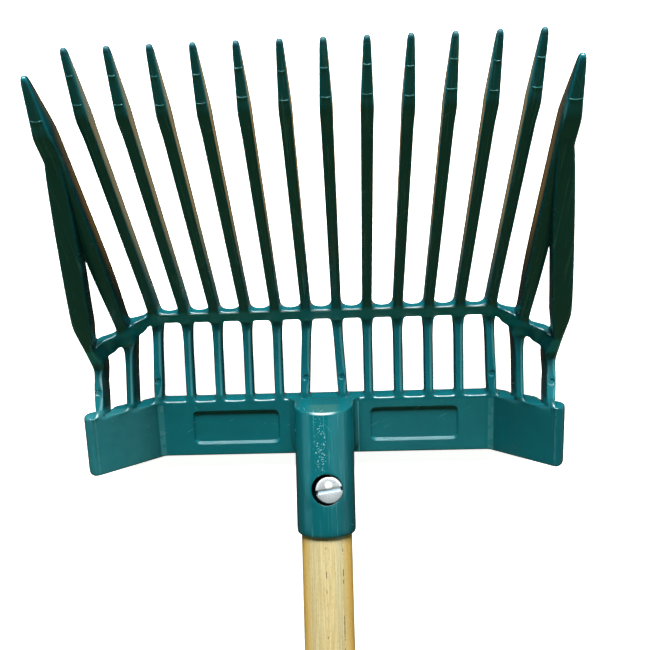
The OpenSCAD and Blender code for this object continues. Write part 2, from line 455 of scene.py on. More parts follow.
def new_finish(name: str) -> tuple[Material, bpy.types.Node, Surface]:
    """Start a finish.

    Args:
        name: The finish's name.

    Returns:
        The material, the node of its shader and what it reads.
    """
    mat = bpy.data.materials.new(name)
    mat.use_nodes = True
    tree = mat.node_tree
    given = add_node(tree, "ShaderNodeTexCoord").outputs
    place = Place(given["Object"])
    at = (place - handle_origin()) * (1 / MM, 1 / MM, 1 / MM)
    return mat, tree.nodes["Principled BSDF"], Surface(place, at, Place(given["Normal"]))


@dataclass(frozen=True)
class MouldedPolypropylene:
    """Injection-moulded polypropylene in dark teal, polished by the mould and scuffed by handling.

    To the eye it is a semi-gloss skin with a faint orange peel, slow clouds in its colour, pale streaks along
    the tines and a few fine scratches. Painted highlights run along the folds, the wings' ends, the top edges,
    beside the socket and inside the bars' right edges, with a painted sheen on the left wing and the plate's
    right half. Painted light brightens the crossbar's front, the bars and the tips; painted shade darkens the
    bars' sides, the wings by their folds, the right wing, the tips' ends and the wings' tines' inner walls.
    """

    sizes: "ForkSizes"
    name: str = "moulded_polypropylene"
    colour: str = "#0d717a"
    cloud_colour: str = "#0a5d65"
    # Colour of the scuffs and streaks, and of the painted highlights and sheen.
    scuff_and_sheen_colour: str = "#6fb5b3"
    speck_colour: str = "#a3dbe2"
    # Colour of the painted highlight along the top edges.
    highlight_colour: str = "#d9f0f6"
    shade_colour: str = "#020a0b"
    lit_colour: str = "#19acc4"
    roughness: float = 0.19
    ior: float = 1.49
    peel_mm: float = 1.5
    peel: float = 0.04
    cloud_mm: float = 24.0
    streak_mm: float = 1.1
    streak: float = 0.34
    scratch_mm: tuple[float, float] = (0.5, 0.45)
    scratch_patch_mm: float = 17.0
    scratch: float = 0.35
    speck_mm: float = 0.9
    tines_from_mm: float = 34.0
    # Painted highlight lines along the folds, the wings' ends and beside the socket.
    pale_lines: tuple[Triple, ...] = ((95.0, 1.7, 0.2), (124.0, 0.45, 0.2))
    socket_line_mm: Triple = (19.4, 0.35, 0.45)
    plate_edge_mm: Triple = (-0.35, 0.4, 0.85)
    crest_edge_mm: Triple = (-1.1, 0.42, 0.75)
    edge_sunk_mm: float = 0.25
    between_mm: tuple[float, float] = (2.4, 3.6)
    fold_shade: float = 0.3
    wing_shade: float = 0.24
    side_shade: float = 0.55
    tip_shade: float = 0.5
    wall_shade: float = 0.95
    # Painted sheen on the left wing and the plate's right half.
    wing_sheen: float = 0.11
    plate_sheen: float = 0.05
    # Strengths of the painted light on the bars, the crossbar's front and the tips.
    bars_lit: float = 0.16
    cross_lit: float = 0.9
    tips_lit: float = 0.12
    # Strength of the painted highlight inside the bars' right-hand edges.
    edge_highlight: float = 0.34
    matt_tip_mm: float = 3.0

    def wear(self, skin: Surface) -> Measure | float:
        """Give how worn the skin is, which is not at all but on the socket."""
        return 0.0

    def up_comb(self, skin: Surface, start: float) -> Measure:
        """Give a place's distance up the comb from a height on it."""
        return (skin.at - self.sizes.on_comb(0, start, 0)) @ self.sizes.slope(self.sizes.tine_tilt)[0]

    def up_plate(self, skin: Surface) -> Measure:
        """Give a place's distance up the plate from its top edge."""
        return (skin.at - self.sizes.on_plate(0, 0, 0)) @ self.sizes.slope(self.sizes.plate_tilt)[0]

    def on_bars(self, skin: Surface) -> Measure:
        """Give whether a place is on the bars."""
        return self.up_plate(skin).span(1.5, self.sizes.bar_len - 3, 3)

    def shade(self, skin: Surface) -> Measure:
        """Give how deep the skin lies in shade: on the wings, the bars' sides, the tips' ends and the walls.

        Args:
            skin: What the finish reads.

        Returns:
            The share of shade.
        """
        fold = self.sizes.fold_x
        fade = skin.away.band(fold + 13, fold + 2.5) * skin.away.band(fold + 1.6, fold + 2.4)
        right = (skin.at @ X).band(fold + 2, fold + 5) * self.wing_shade
        wings = (fade * self.fold_shade | right) * (skin.at @ Y).band(-1, -2)
        sides = abs(skin.facing @ X).band(0.4, 0.75) * self.on_bars(skin) * self.side_shade
        return wings | sides | self.tip_ends(skin) * self.tip_shade | self.walls(skin) * self.wall_shade

    def walls(self, skin: Surface) -> Measure:
        """Give where the walls of the wings' tines and braces face the middle.

        Args:
            skin: What the finish reads.

        Returns:
            The share.
        """
        s = self.sizes
        sideways = (skin.facing @ s.slope(s.tine_tilt)[1]).band(0.4, -0.2)
        inward = ((skin.facing @ X) * (skin.at @ X)).band(0, -20)
        on_wing = skin.away.band(s.fold_x + 5, s.fold_x + 6) * self.up_comb(skin, 0).band(8, 14)
        return sideways * inward * on_wing

    def tip_ends(self, skin: Surface) -> Measure:
        """Give where the ends of the tips are, which are worn matt and darkened with painted shade."""
        start = self.sizes.tip_end.y - self.matt_tip_mm
        return (skin.at @ Y).band(start, start + 1)

    def painted_light(self, skin: Surface, base: Wire) -> Wire:
        """Give the skin's colour before its marks, with painted light on the bars, the tips and the crossbar's
        front.

        Args:
            skin: What the finish reads.
            base: The plain colour.

        Returns:
            The colour.
        """
        s = self.sizes
        along = self.up_comb(skin, s.cross_foot)
        front = (skin.facing @ Y).band(0.0, -0.4)
        cross = along.span(-5, s.cross_h + 2, 4) * front * self.cross_lit
        tips = along.band(s.tine_len, s.tine_len + 3) * self.tips_lit
        bars = self.on_bars(skin) * skin.away.band(s.fold_x + 5, s.fold_x + 3) * self.bars_lit
        return (bars | tips | cross).paint(base, self.lit_colour)

    def painted_edge_highlights(self, skin: Surface) -> Measure:
        """Give the painted highlight inside the bars' right-hand edges."""
        right = skin.facing @ X
        return right.band(0.03, 0.12) * right.band(0.5, 0.3) * self.on_bars(skin) * self.edge_highlight

    def painted_highlight(self, skin: Surface) -> Measure:
        """Give the painted highlight on the front top edges of the plate and crossbar, between the members.

        Args:
            skin: What the finish reads.

        Returns:
            The share.
        """
        s = self.sizes
        up, half, share = self.plate_edge_mm
        plate = self.near(skin, s.on_plate(0, up, -self.edge_sunk_mm), half) * share
        up, half, share = self.crest_edge_mm
        crest = self.near(skin, s.on_comb(0, s.root_y + up, -self.edge_sunk_mm), half) * share
        steps = (skin.at @ X) * (1 / s.pitch)
        between = abs(steps % 1.0 - 0.5).band(*(d / s.pitch for d in self.between_mm))
        return (plate | crest) * between * skin.away.band(s.fold_x - 1, s.fold_x - 3)

    @staticmethod
    def near(skin: Surface, point: Vector, half: float) -> Measure:
        """Give whether a place is near the line across the head through a point."""
        return abs((skin.at - point) * (0, 1, 1)).band(1.3 * half, 0.7 * half)

    def painted_highlights_and_sheen(self, skin: Surface) -> Measure:
        """Give the painted highlights and sheen: pale lines on the folds, the wings' ends and beside the
        socket, with a painted sheen on the left wing and the plate's right half.

        Args:
            skin: What the finish reads.

        Returns:
            The share.
        """
        fold = self.sizes.fold_x
        across = skin.at @ X
        x, half, share = self.socket_line_mm
        socket_line = across.span(x - half, x + half, 0.3 * half) * share
        # Painted sheen on the left wing and the plate's right half; painted highlight lines below.
        left = across.band(-fold - 2, -fold - 4) * self.wing_sheen
        total = left | across.span(20, fold - 1, 3) * self.plate_sheen | socket_line
        for x, half, share in self.pale_lines:
            total = total | abs(skin.away - x).band(half, 0.7 * half) * share
        patchy = skin.place.grain(5.0, 3.0).band(0.3, 0.7, 0.65, 1.0, Ramp.STRAIGHT)
        return total * (skin.at @ Y).band(-2, -2.5) * patchy

    def scratches(self, skin: Surface) -> Measure:
        """Give the fine scratches, which cross each other in patches.

        Args:
            skin: What the finish reads.

        Returns:
            The share.
        """
        first, second = self.scratch_mm
        lines = skin.place.grain(first, 1.0, (1.0, 40.0, 40.0), (0, 0, 64)).band(0.735, 0.76)
        crossing = skin.place.grain(second, 1.0, (1.0, 30.0, 30.0), (0, 0, -38)).band(0.74, 0.765)
        patches = skin.place.grain(self.scratch_patch_mm).band(0.52, 0.6)
        return (lines | crossing) * patches * self.scratch

    def streaks(self, skin: Surface) -> Measure:
        """Give the pale streaks drawn along the tines.

        Args:
            skin: What the finish reads.

        Returns:
            The share.
        """
        drawn = skin.place.grain(self.streak_mm, 3.0, (1.0, 30.0, 30.0), (-self.sizes.tine_tilt, 0, 0))
        on_tines = (skin.place @ Z).band(self.tines_from_mm * MM, (self.tines_from_mm + 8) * MM)
        return drawn.band(0.56, 0.72) * on_tines * self.streak

    def material(self) -> Material:
        """Build the plastic's node tree.

        Returns:
            The material.
        """
        mat, shader, skin = new_finish(self.name)
        clouds = skin.place.grain(self.cloud_mm, 3.0)
        marks = self.streaks(skin) | self.scratches(skin) | self.painted_highlights_and_sheen(skin) | self.painted_edge_highlights(skin)
        wear = self.wear(skin)
        specks = skin.place.grain(self.speck_mm, 1.0).band(0.61, 0.68) * (wear * 0.7)
        shade = self.shade(skin)
        # Clouds, with painted light on the bars, the tips and the crossbar's front.
        light_painted = self.painted_light(skin, clouds.paint(self.colour, self.cloud_colour))
        flecked = specks.paint(marks.paint(light_painted, self.scuff_and_sheen_colour), self.speck_colour)
        # Painted highlight along the top edges.
        with_highlights = self.painted_highlight(skin).paint(flecked, self.highlight_colour)
        gloss = clouds.band(0, 1, self.roughness - 0.04, self.roughness + 0.06, Ramp.STRAIGHT)
        fill(shader, {
            "Base Color": shade.paint(with_highlights, self.shade_colour),
            "Roughness": gloss + (marks * 0.5 | self.tip_ends(skin) * 0.4),
            "Specular IOR Level": shade.band(0, 1, 0.5, 0.03, Ramp.STRAIGHT),
            "IOR": self.ior,
            "Normal": skin.bump(skin.place.grain(self.peel_mm, 3.0), wear + self.peel, 0.5 * MM),
        })
        return mat


@dataclass(frozen=True)
class SocketPolypropylene(MouldedPolypropylene):
    """The same plastic on the socket.

    To the eye it is scuffed to fine sparkles up its front, with a painted highlight along the edge of its flat
    end, painted shade that grows towards the mouth and darkens the recess of the screw's head nearly to black,
    and a painted olive reflection on the flat end.
    """

    name: str = "scuffed_polypropylene"
    roughness: float = 0.14
    # Colours of the painted shade towards the mouth and of the painted olive reflection on the flat end.
    mouth_shade_colour: str = "#04484e"
    face_reflection_colour: str = "#5d8a72"
    peel_mm: float = 0.9
    peel: float = 0.1
    worn_at_mm: Triple = (-1.6, -24.0, 0.0)
    worn_half_mm: tuple[float, float] = (3.0, 16.0)
    recess_edge_mm: float = 0.2

    @staticmethod
    def front(skin: Surface) -> Measure:
        """Give whether a place is on the front half of the socket."""
        return (skin.at @ Z).band(0, 3)

    def painted_light(self, skin: Surface, base: Wire) -> Wire:
        """Give the skin's colour before its marks: painted shade towards the mouth, a painted olive reflection
        on the flat end.

        Args:
            skin: What the finish reads.
            base: The plain colour.

        Returns:
            The colour.
        """
        along = self.up_plate(skin)
        # Painted shade, growing towards the mouth.
        mouth_shaded = (along.band(8, -75) * 0.6).paint(base, self.mouth_shade_colour)
        # Painted olive reflection on the flat end.
        face = along.band(-0.35, -0.1) * self.front(skin) * skin.away.band(11, 5)
        return (face * 0.24).paint(mouth_shaded, self.face_reflection_colour)

    def wear(self, skin: Surface) -> Measure | float:
        """Give how worn the skin is: most of all in a patch that runs up the front.

        Args:
            skin: What the finish reads.

        Returns:
            The share.
        """
        spot = skin.at - Vector(self.worn_at_mm)
        worn = self.front(skin) * skin.place.grain(3.0, 3.0).band(0.36, 0.52)
        for way, half in zip((X, Y), self.worn_half_mm):
            worn = worn * abs(spot @ way).band(1.5 * half, 0.5 * half)
        return worn

    def shade(self, skin: Surface) -> Measure:
        """Give the painted shade that darkens the recess of the screw's head nearly to black."""
        gap = abs((skin.at - self.sizes.recess_middle) * (1, 1, 0)) - self.sizes.recess_r
        return gap.band(self.recess_edge_mm + 0.12, self.recess_edge_mm - 0.12) * self.front(skin)

    def painted_highlight(self, skin: Surface) -> Measure:
        """Give the painted highlight along the edge of the socket's flat end, strongest in its front's middle.
        """
        line = abs(self.up_plate(skin) + 0.45).band(0.75, 0.3) * skin.away.band(8.5, 2.5) * 0.75
        return line * (abs(skin.at * (1, 0, 1)) - self.sizes.socket_r).band(-1.3, -0.7)


@dataclass(frozen=True)
class TurnedAsh:
    """Turned ash, thinly waxed.

    To the eye it is a pale straw wood with fine straight grain and short dark pores in broken lines, with
    painted light that makes it brighter and warmer towards its sides.
    """

    sizes: "ForkSizes"
    early: str = "#d5c99d"
    late: str = "#c2af7a"
    # Colour of the rings and of the painted light towards the sides.
    side: str = "#ffca55"
    pore: str = "#3a2b12"
    roughness: float = 0.48
    grain_mm: float = 0.6
    band_mm: float = 3.5
    pore_mm: float = 0.3
    pore_lines_mm: tuple[float, ...] = (-0.2, 8.8)

    def material(self) -> Material:
        """Build the wood's node tree.

        Returns:
            The material.
        """
        mat, shader, skin = new_finish("turned_ash")
        fine = skin.place.grain(self.grain_mm, 3.0, (1.0, 40.0, 1.0))
        rings = skin.place.grain(self.band_mm, 2.0, (1.0, 60.0, 1.0)).band(0.5, 0.75)
        straw = fine.band(0.35, 0.7).paint(self.late, self.early)
        # Painted light towards the sides.
        warm = skin.away.band(0.5 * self.sizes.handle_r, self.sizes.handle_r)
        ringed = (rings * 0.14).paint((warm * 0.85).paint(straw, self.side), self.side)
        pores = skin.place.grain(self.pore_mm, 1.0, (1.0, 6.0, 1.0)).band(0.6, 0.7) * 0.3
        broken = skin.place.grain(5.0, 3.0).band(0.53, 0.6) * 0.85
        for x in self.pore_lines_mm:
            pores = pores | abs((skin.at @ X) - x).band(0.34, 0.1) * broken
        fill(shader, {
            "Base Color": pores.paint(ringed, self.pore),
            "Roughness": self.roughness,
            "Normal": skin.bump(fine, 0.25, 0.15 * MM),
        })
        return mat


@dataclass(frozen=True)
class ZincPlatedSteel:
    """Bright zinc on turned steel.

    To the eye it is a pale satin grey with fine specks and a bright white round spot, with a white slot that
    carries a painted sky reflection and painted shade at its ends, a painted highlight round the rim and
    painted shade on the half below the slot.
    """

    sizes: "ForkSizes"
    colour: str = "#e9ecef"
    # dull also colours the painted shade below the slot; bright the white spot and the painted highlights.
    dull: str = "#a9aeb4"
    bright: str = "#ffffff"
    # Painted sky reflection in the slot, and painted shade at the slot's ends.
    sky: str = "#b5d8ee"
    dark: str = "#14181b"
    roughness: float = 0.5
    speck_mm: float = 0.35
    spot_mm: tuple[float, float] = (-0.2, 2.9)
    spot_r_mm: float = 2.1

    def material(self) -> Material:
        """Build the plated steel's node tree.

        Returns:
            The material.
        """
        s = self.sizes
        mat, shader, skin = new_finish("zinc_plated_steel")
        top = s.socket_r - s.head_sunk
        axis = Vector((s.screw_x, -s.screw_drop, 0))
        specks = skin.place.grain(self.speck_mm, 4.0)
        grey = specks.band(0.38, 0.6).paint(self.dull, self.colour)
        gap = abs(skin.at - axis - Vector((*self.spot_mm, top)))
        spot = gap.band(self.spot_r_mm + 0.15, self.spot_r_mm - 0.15)
        slot = (skin.at @ Z).span(top - 1.9, top - 0.6, 0.3)
        flat = (skin.at - axis) * (1, 1, 0)
        turn = math.radians(s.slot_turn)
        up_slot = flat @ Vector((-math.sin(turn), math.cos(turn), 0))
        # Painted highlight round the rim.
        rim = abs(flat).band(6.2, 6.6) * 0.6
        # Painted shade on the half below the slot.
        shaded_lower = (up_slot.band(-0.8, -1.6) * 0.6).paint(grey, self.dull)
        # White on the spot, painted highlights on the slot and the rim.
        lit = (spot | slot | rim).paint(shaded_lower, self.bright)
        # Painted sky reflection in the slot.
        light_painted = (slot * up_slot.band(0.1, -0.5)).paint(lit, self.sky)
        fill(shader, {
            # Painted shade at the slot's ends.
            "Base Color": (slot * abs(flat).band(5.9, 6.4)).paint(light_painted, self.dark),
            "Metallic": (spot | slot).band(0, 1, 0.5, 0.1, Ramp.STRAIGHT),
            "Roughness": self.roughness,
            "Normal": skin.bump(specks, 0.3, 0.1 * MM),
        })
        return mat


@dataclass(frozen=True)
class ForkSizes:
    """The fork's driving sizes in millimetres and degrees, and the places that follow from them.

    Places are worked out in the handle's frame: x across, y towards the tines from the plate's top edge, and
    z out of the hollow side from the handle's axis.
    """

    handle_r: float = 14.0
    socket_r: float = 16.5
    bore_r: float = 13.7
    socket_len: float = 73.0
    plate_h: float = 33.0
    plate_t: float = 8.5
    plate_tilt: float = 12.5
    plate_drop: float = 11.0
    fold: float = 42.5
    wing_w: float = 40.5
    wing_pitch: float = 19.0
    pitch: float = 17.2
    bar_len: float = 45.0
    bar_lean: float = 7.7
    wing_drop: float = 3.5
    bar_w: float = 5.6
    end_bar_w: float = 5.6
    bar_d: float = 6.3
    wing_bar_d: float = 13.0
    splay: float = 11.0
    cross_d: float = 5.0
    cross_foot: float = 1.0
    cross_h: float = 8.0
    tine_tilt: float = 51.5
    tine_len: float = 136.0
    tine_w: float = 5.6
    tine_root_d: float = 9.2
    tine_neck_d: float = 7.2
    shoulder_w: float = 5.8
    shoulder_rise: float = 1.0
    shoulder_run: float = 10.0
    tip_len: float = 28.5
    tip_bend: float = 11.0
    tip_w: float = 3.0
    tip_t: float = 3.0
    brace_d: float = 10.0
    post_len: float = 29.5
    brace_reach: float = 130.0
    screw_x: float = 2.4
    screw_drop: float = 47.5
    head_d: float = 14.5
    head_h: float = 5.5
    head_sunk: float = 1.2
    head_chamfer: float = 0.7
    recess_r: float = 8.25
    recess_shift: tuple[float, float] = (-1.1, 0.45)
    slot_w: float = 2.4
    slot_depth: float = 1.2
    slot_turn: float = 9.0
    screw_r: float = 4.0
    nut_flats: float = 13.0
    nut_h: float = 6.5
    nut_clear: float = 0.2
    nut_floor: float = 3.0
    nut_pad_r: float = 11.5
    panel_w: float = 50.0
    panel_h: float = 19.5
    panel_depth: float = 1.9
    panel_r: float = 3.0
    panel_x: float = 51.5
    bars: int = 16
    wing_bars: int = 2

    @staticmethod
    def place(point: Vector) -> Vector:
        """Move a point from the handle's frame, in millimetres, to the row frame, in metres."""
        return handle_origin() + point * MM

    @staticmethod
    def slope(tilt: float) -> tuple[Vector, Vector]:
        """Give the unit vectors up a slope, tilted from the handle by an angle, and out of its front."""
        a = math.radians(tilt)
        return Vector((0, math.cos(a), math.sin(a))), Vector((0, -math.sin(a), math.cos(a)))

    def on_plate(self, x: float, along: float, out: float) -> Vector:
        """Give the point at a height up the plate and a distance out of its front."""
        up, normal = self.slope(self.plate_tilt)
        return Vector((x, 0, -self.plate_drop)) + up * along + normal * out

    def on_comb(self, x: float, along: float, out: float) -> Vector:
        """Give a point on the comb.

        Args:
            x: The place across the head.
            along: The height up the comb from its bend.
            out: The distance out of its front.

        Returns:
            The point.
        """
        lean, _ = self.slope(self.bar_lean)
        up, normal = self.slope(self.tine_tilt)
        return Vector((x, 0, -self.plate_drop)) + lean * self.bar_len + up * along + normal * out

    @property
    def recess_middle(self) -> Vector:
        """Middle of the recess round the screw's head, on the handle's plane."""
        dx, dy = self.recess_shift
        return Vector((self.screw_x + dx, dy - self.screw_drop, 0))

    @property
    def nut_low(self) -> float:
        """Height of the nut's outer face and of the face of its pad."""
        return -self.bore_r - self.nut_floor - self.nut_h

    @property
    def tip_slope(self) -> tuple[Vector, Vector]:
        """Directions up a bent tip and out of its front."""
        return self.slope(self.tine_tilt - self.tip_bend)

    @property
    def tip_end(self) -> Vector:
        """End of a middle tine's tip."""
        return self.on_comb(0, self.tine_len, 0) + self.tip_slope[0] * self.tip_len

    @property
    def root_y(self) -> float:
        """Height up the comb of the top of the crossbar."""
        return self.cross_foot + self.cross_h

    @property
    def fold_x(self) -> float:
        """Distance from the middle to the folds of the wings."""
        return (self.bars - 2 * self.wing_bars - 1) / 2 * self.pitch

    def step(self, i: int) -> int:
        """Count a member's steps out along its wing, negative on the left and zero between the folds."""
        last = self.bars - self.wing_bars
        return i - self.wing_bars - 1 if i <= self.wing_bars else max(0, i - last)

    def bar_x(self, i: int) -> float:
        """Give the place across the head of a bar and what stands on it.

        Args:
            i: The bar, counted from the left.

        Returns:
            The distance from the middle.
        """
        k = self.step(i)
        if k == 0:
            return (i - (self.bars + 1) / 2) * self.pitch
        return math.copysign(self.fold_x, k) + k * self.wing_pitch * math.cos(math.radians(self.fold))

    def out(self, i: int) -> float:
        """Give how far a member stands forward with its wing."""
        return abs(self.step(i)) * self.wing_pitch * math.sin(math.radians(self.fold))

    def strip_out(self, x: float) -> float:
        """Give how far forward a strip that folds with the wings lies at a place across the head."""
        return max(0.0, abs(x) - self.fold_x) * math.tan(math.radians(self.fold))

    def strip_depth(self, x: float, thickness: float) -> float:
        """Give how deep such a strip of a given thickness is, measured straight back."""
        start = self.fold_x + thickness * math.tan(math.radians(self.fold / 2))
        return self.strip_out(x) - max(0.0, abs(x) - start) * math.tan(math.radians(self.fold)) + thickness


@dataclass
class Knot:
    """A crossing of the moulding's cage: its front point and the ways that its edges are rounded in."""

    point: Vector
    along: Vector
    normal: Vector
    depth: float
    across: Vector = field(default_factory=lambda: X.copy())
    edge: float = 0.7
    crown: float = 0.0
    back_shift: float = 0.0
    back_lift: float = 0.0
    edge_along: float | None = None


@dataclass
class Lattice:
    """A lattice of cells given a front, a back and walls round its windows, as a cage for subdivision.

    Ghosts are cells that are left open for another cage to join, and bare ones have no front.
    """

    knots: dict[Crossing, Knot]
    cells: set[Crossing]
    ghosts: set[Crossing]
    bare: set[Crossing] = field(default_factory=set)
    made: dict[tuple[int, int, Layer], Corner] = field(default_factory=dict)

    def inset(self, c: int, r: int) -> Crossing:
        """Find which way a crossing's front is drawn in from the windows round it.

        Args:
            c: The crossing's column.
            r: The crossing's row.

        Returns:
            The direction across and along, each minus one, nought or one.
        """
        voids = [(du, dv) for du in (-1, 1) for dv in (-1, 1)
                 if (c - (du < 0), r - (dv < 0)) not in self.cells | self.ghosts]
        across, along = sum(v[0] for v in voids), sum(v[1] for v in voids)
        return (across < 0) - (across > 0), (along < 0) - (along > 0)

    def corner(self, bm: Mesh, c: int, r: int, layer: Layer) -> Corner:
        """Give a crossing's vertex on one layer, making it the first time.

        Args:
            bm: The cage's mesh.
            c: The crossing's column.
            r: The crossing's row.
            layer: The layer.

        Returns:
            The vertex.
        """
        if (c, r, layer) in self.made:
            return self.made[c, r, layer]
        knot = self.knots[c, r]
        du, dv = self.inset(c, r)
        along_edge = knot.edge if knot.edge_along is None else knot.edge_along
        drawn_in = knot.across * (du * knot.edge) + knot.along * (dv * along_edge)
        moved = knot.across * knot.back_shift + knot.along * knot.back_lift
        point = {
            Layer.FRONT: knot.point + drawn_in + knot.normal * knot.crown,
            Layer.FRONT_RIM: knot.point - knot.normal * knot.edge,
            Layer.BACK_RIM: knot.point - knot.normal * (knot.depth - knot.edge) + moved,
            Layer.BACK: knot.point - knot.normal * knot.depth + drawn_in + moved,
        }[layer]
        self.made[c, r, layer] = bm.verts.new(point)
        return self.made[c, r, layer]

    def build(self, bm: Mesh) -> None:
        """Add the lattice's front, back and walls to a mesh.

        Args:
            bm: The mesh, in millimetres in the handle's frame.
        """
        for c, r in sorted(self.cells):
            ring = [(c, r), (c + 1, r), (c + 1, r + 1), (c, r + 1)]
            if (c, r) not in self.bare:
                bm.faces.new([self.corner(bm, *k, Layer.FRONT) for k in ring])
            bm.faces.new([self.corner(bm, *k, Layer.BACK) for k in reversed(ring)])
            sides = [(c, r - 1), (c + 1, r), (c, r + 1), (c - 1, r)]
            for n, beyond in enumerate(sides):
                if beyond not in self.cells | self.ghosts:
                    self.wall(bm, ring[n], ring[(n + 1) % 4])

    def wall(self, bm: Mesh, a: Crossing, b: Crossing) -> None:
        """Add the rounded wall under one edge of the lattice.

        Args:
            bm: The cage's mesh.
            a: The edge's first crossing.
            b: The edge's second crossing.
        """
        layers = list(Layer)
        for upper, lower in zip(layers, layers[1:]):
            bm.faces.new([self.corner(bm, *b, upper), self.corner(bm, *a, upper),
                          self.corner(bm, *a, lower), self.corner(bm, *b, lower)])


@dataclass
class Tine:
    """A tine's cage of rings, each given by its height up the comb, half width, front and back."""

    sizes: ForkSizes
    tip_len: float
    swell: float
    root: float
    edge: float
    crown: float
    shaft_rows: tuple[float, float] = (30.0, 70.0)
    neck_run: float = 6.0
    swell_rate: float = 4.0
    back_swell: float = 1.5
    tip_swell: float = 0.75
    tip_shares: tuple[float, ...] = (-0.05, 0.05, 0.35, 0.7, 0.9)
    end_shares: Profile = ((0.97, 0.9), (1.0, 0.55))

    def shaft(self, y: float) -> Ring:
        """Give a ring on the straight shaft, which swells above its root.

        Args:
            y: The ring's height up the comb.

        Returns:
            The ring.
        """
        s = self.sizes
        share = (y - self.root) / (s.tine_len - s.shoulder_run - self.root)
        grown = min(1.0, share * self.swell_rate) * self.swell
        back = -s.tine_root_d + share * (s.tine_root_d - s.tine_neck_d) - self.back_swell * grown
        return y, s.tine_w / 2 + grown, 0.0, back

    def tip(self, share: float) -> Ring:
        """Give a ring on the bent tip.

        Args:
            share: How far up the tip it lies.

        Returns:
            The ring.
        """
        s = self.sizes
        bend = math.radians(s.tip_bend)
        end_z = s.shoulder_rise - self.tip_len * math.sin(bend)
        grown = self.swell * (1 - share)
        back = -s.tine_neck_d + share * (end_z - s.tip_t + s.tine_neck_d) - self.back_swell * grown
        half = (s.shoulder_w + share * (s.tip_w - s.shoulder_w)) / 2 + self.tip_swell * grown
        y = s.tine_len + share * self.tip_len * math.cos(bend)
        return y, half, s.shoulder_rise + share * (end_z - s.shoulder_rise), back

    def end(self, share: float, narrow: float) -> Ring:
        """Give a ring on the tip's round end.

        Args:
            share: How far up the tip it lies.
            narrow: How much of the tip's width and depth it keeps.

        Returns:
            The ring.
        """
        y, half, front, back = self.tip(share)
        middle = (front + back) / 2
        return y, half * narrow, middle + (front - middle) * narrow, middle + (back - middle) * narrow

    def build(self, name: str) -> Piece:
        """Make the cage in the row frame's directions, with its root at the origin.

        Args:
            name: The cage's name.

        Returns:
            The object that holds the cage.
        """
        s = self.sizes
        up, normal = s.slope(s.tine_tilt)
        neck = s.tine_len - s.shoulder_run
        heights = [self.root, *(self.root + row for row in self.shaft_rows), neck - self.neck_run, neck]
        rings = [self.shaft(y) for y in heights] + [self.tip(share) for share in self.tip_shares]
        rings += [self.end(*row) for row in self.end_shares]
        bm = bmesh.new()
        loops = []
        for y, half, front, back in rings:
            e = min(self.edge, half * 0.5)
            outline = [(-half + e, front), (0, front + self.crown), (half - e, front), (half, front - e),
                       (half, back + e), (half - e, back), (0, back), (-half + e, back), (-half, back + e),
                       (-half, front - e)]
            points = [X * x + up * (y - self.root) + normal * z for x, z in outline]
            loops.append([bm.verts.new(point * MM) for point in points])
        join_loops(bm, *loops)
        v = loops[-1]
        for ring in ((0, 1, 6, 7), (1, 2, 5, 6), (2, 3, 4, 5), (0, 7, 8, 9)):
            bm.faces.new([v[n] for n in ring])
        return mesh_object(name, bm)


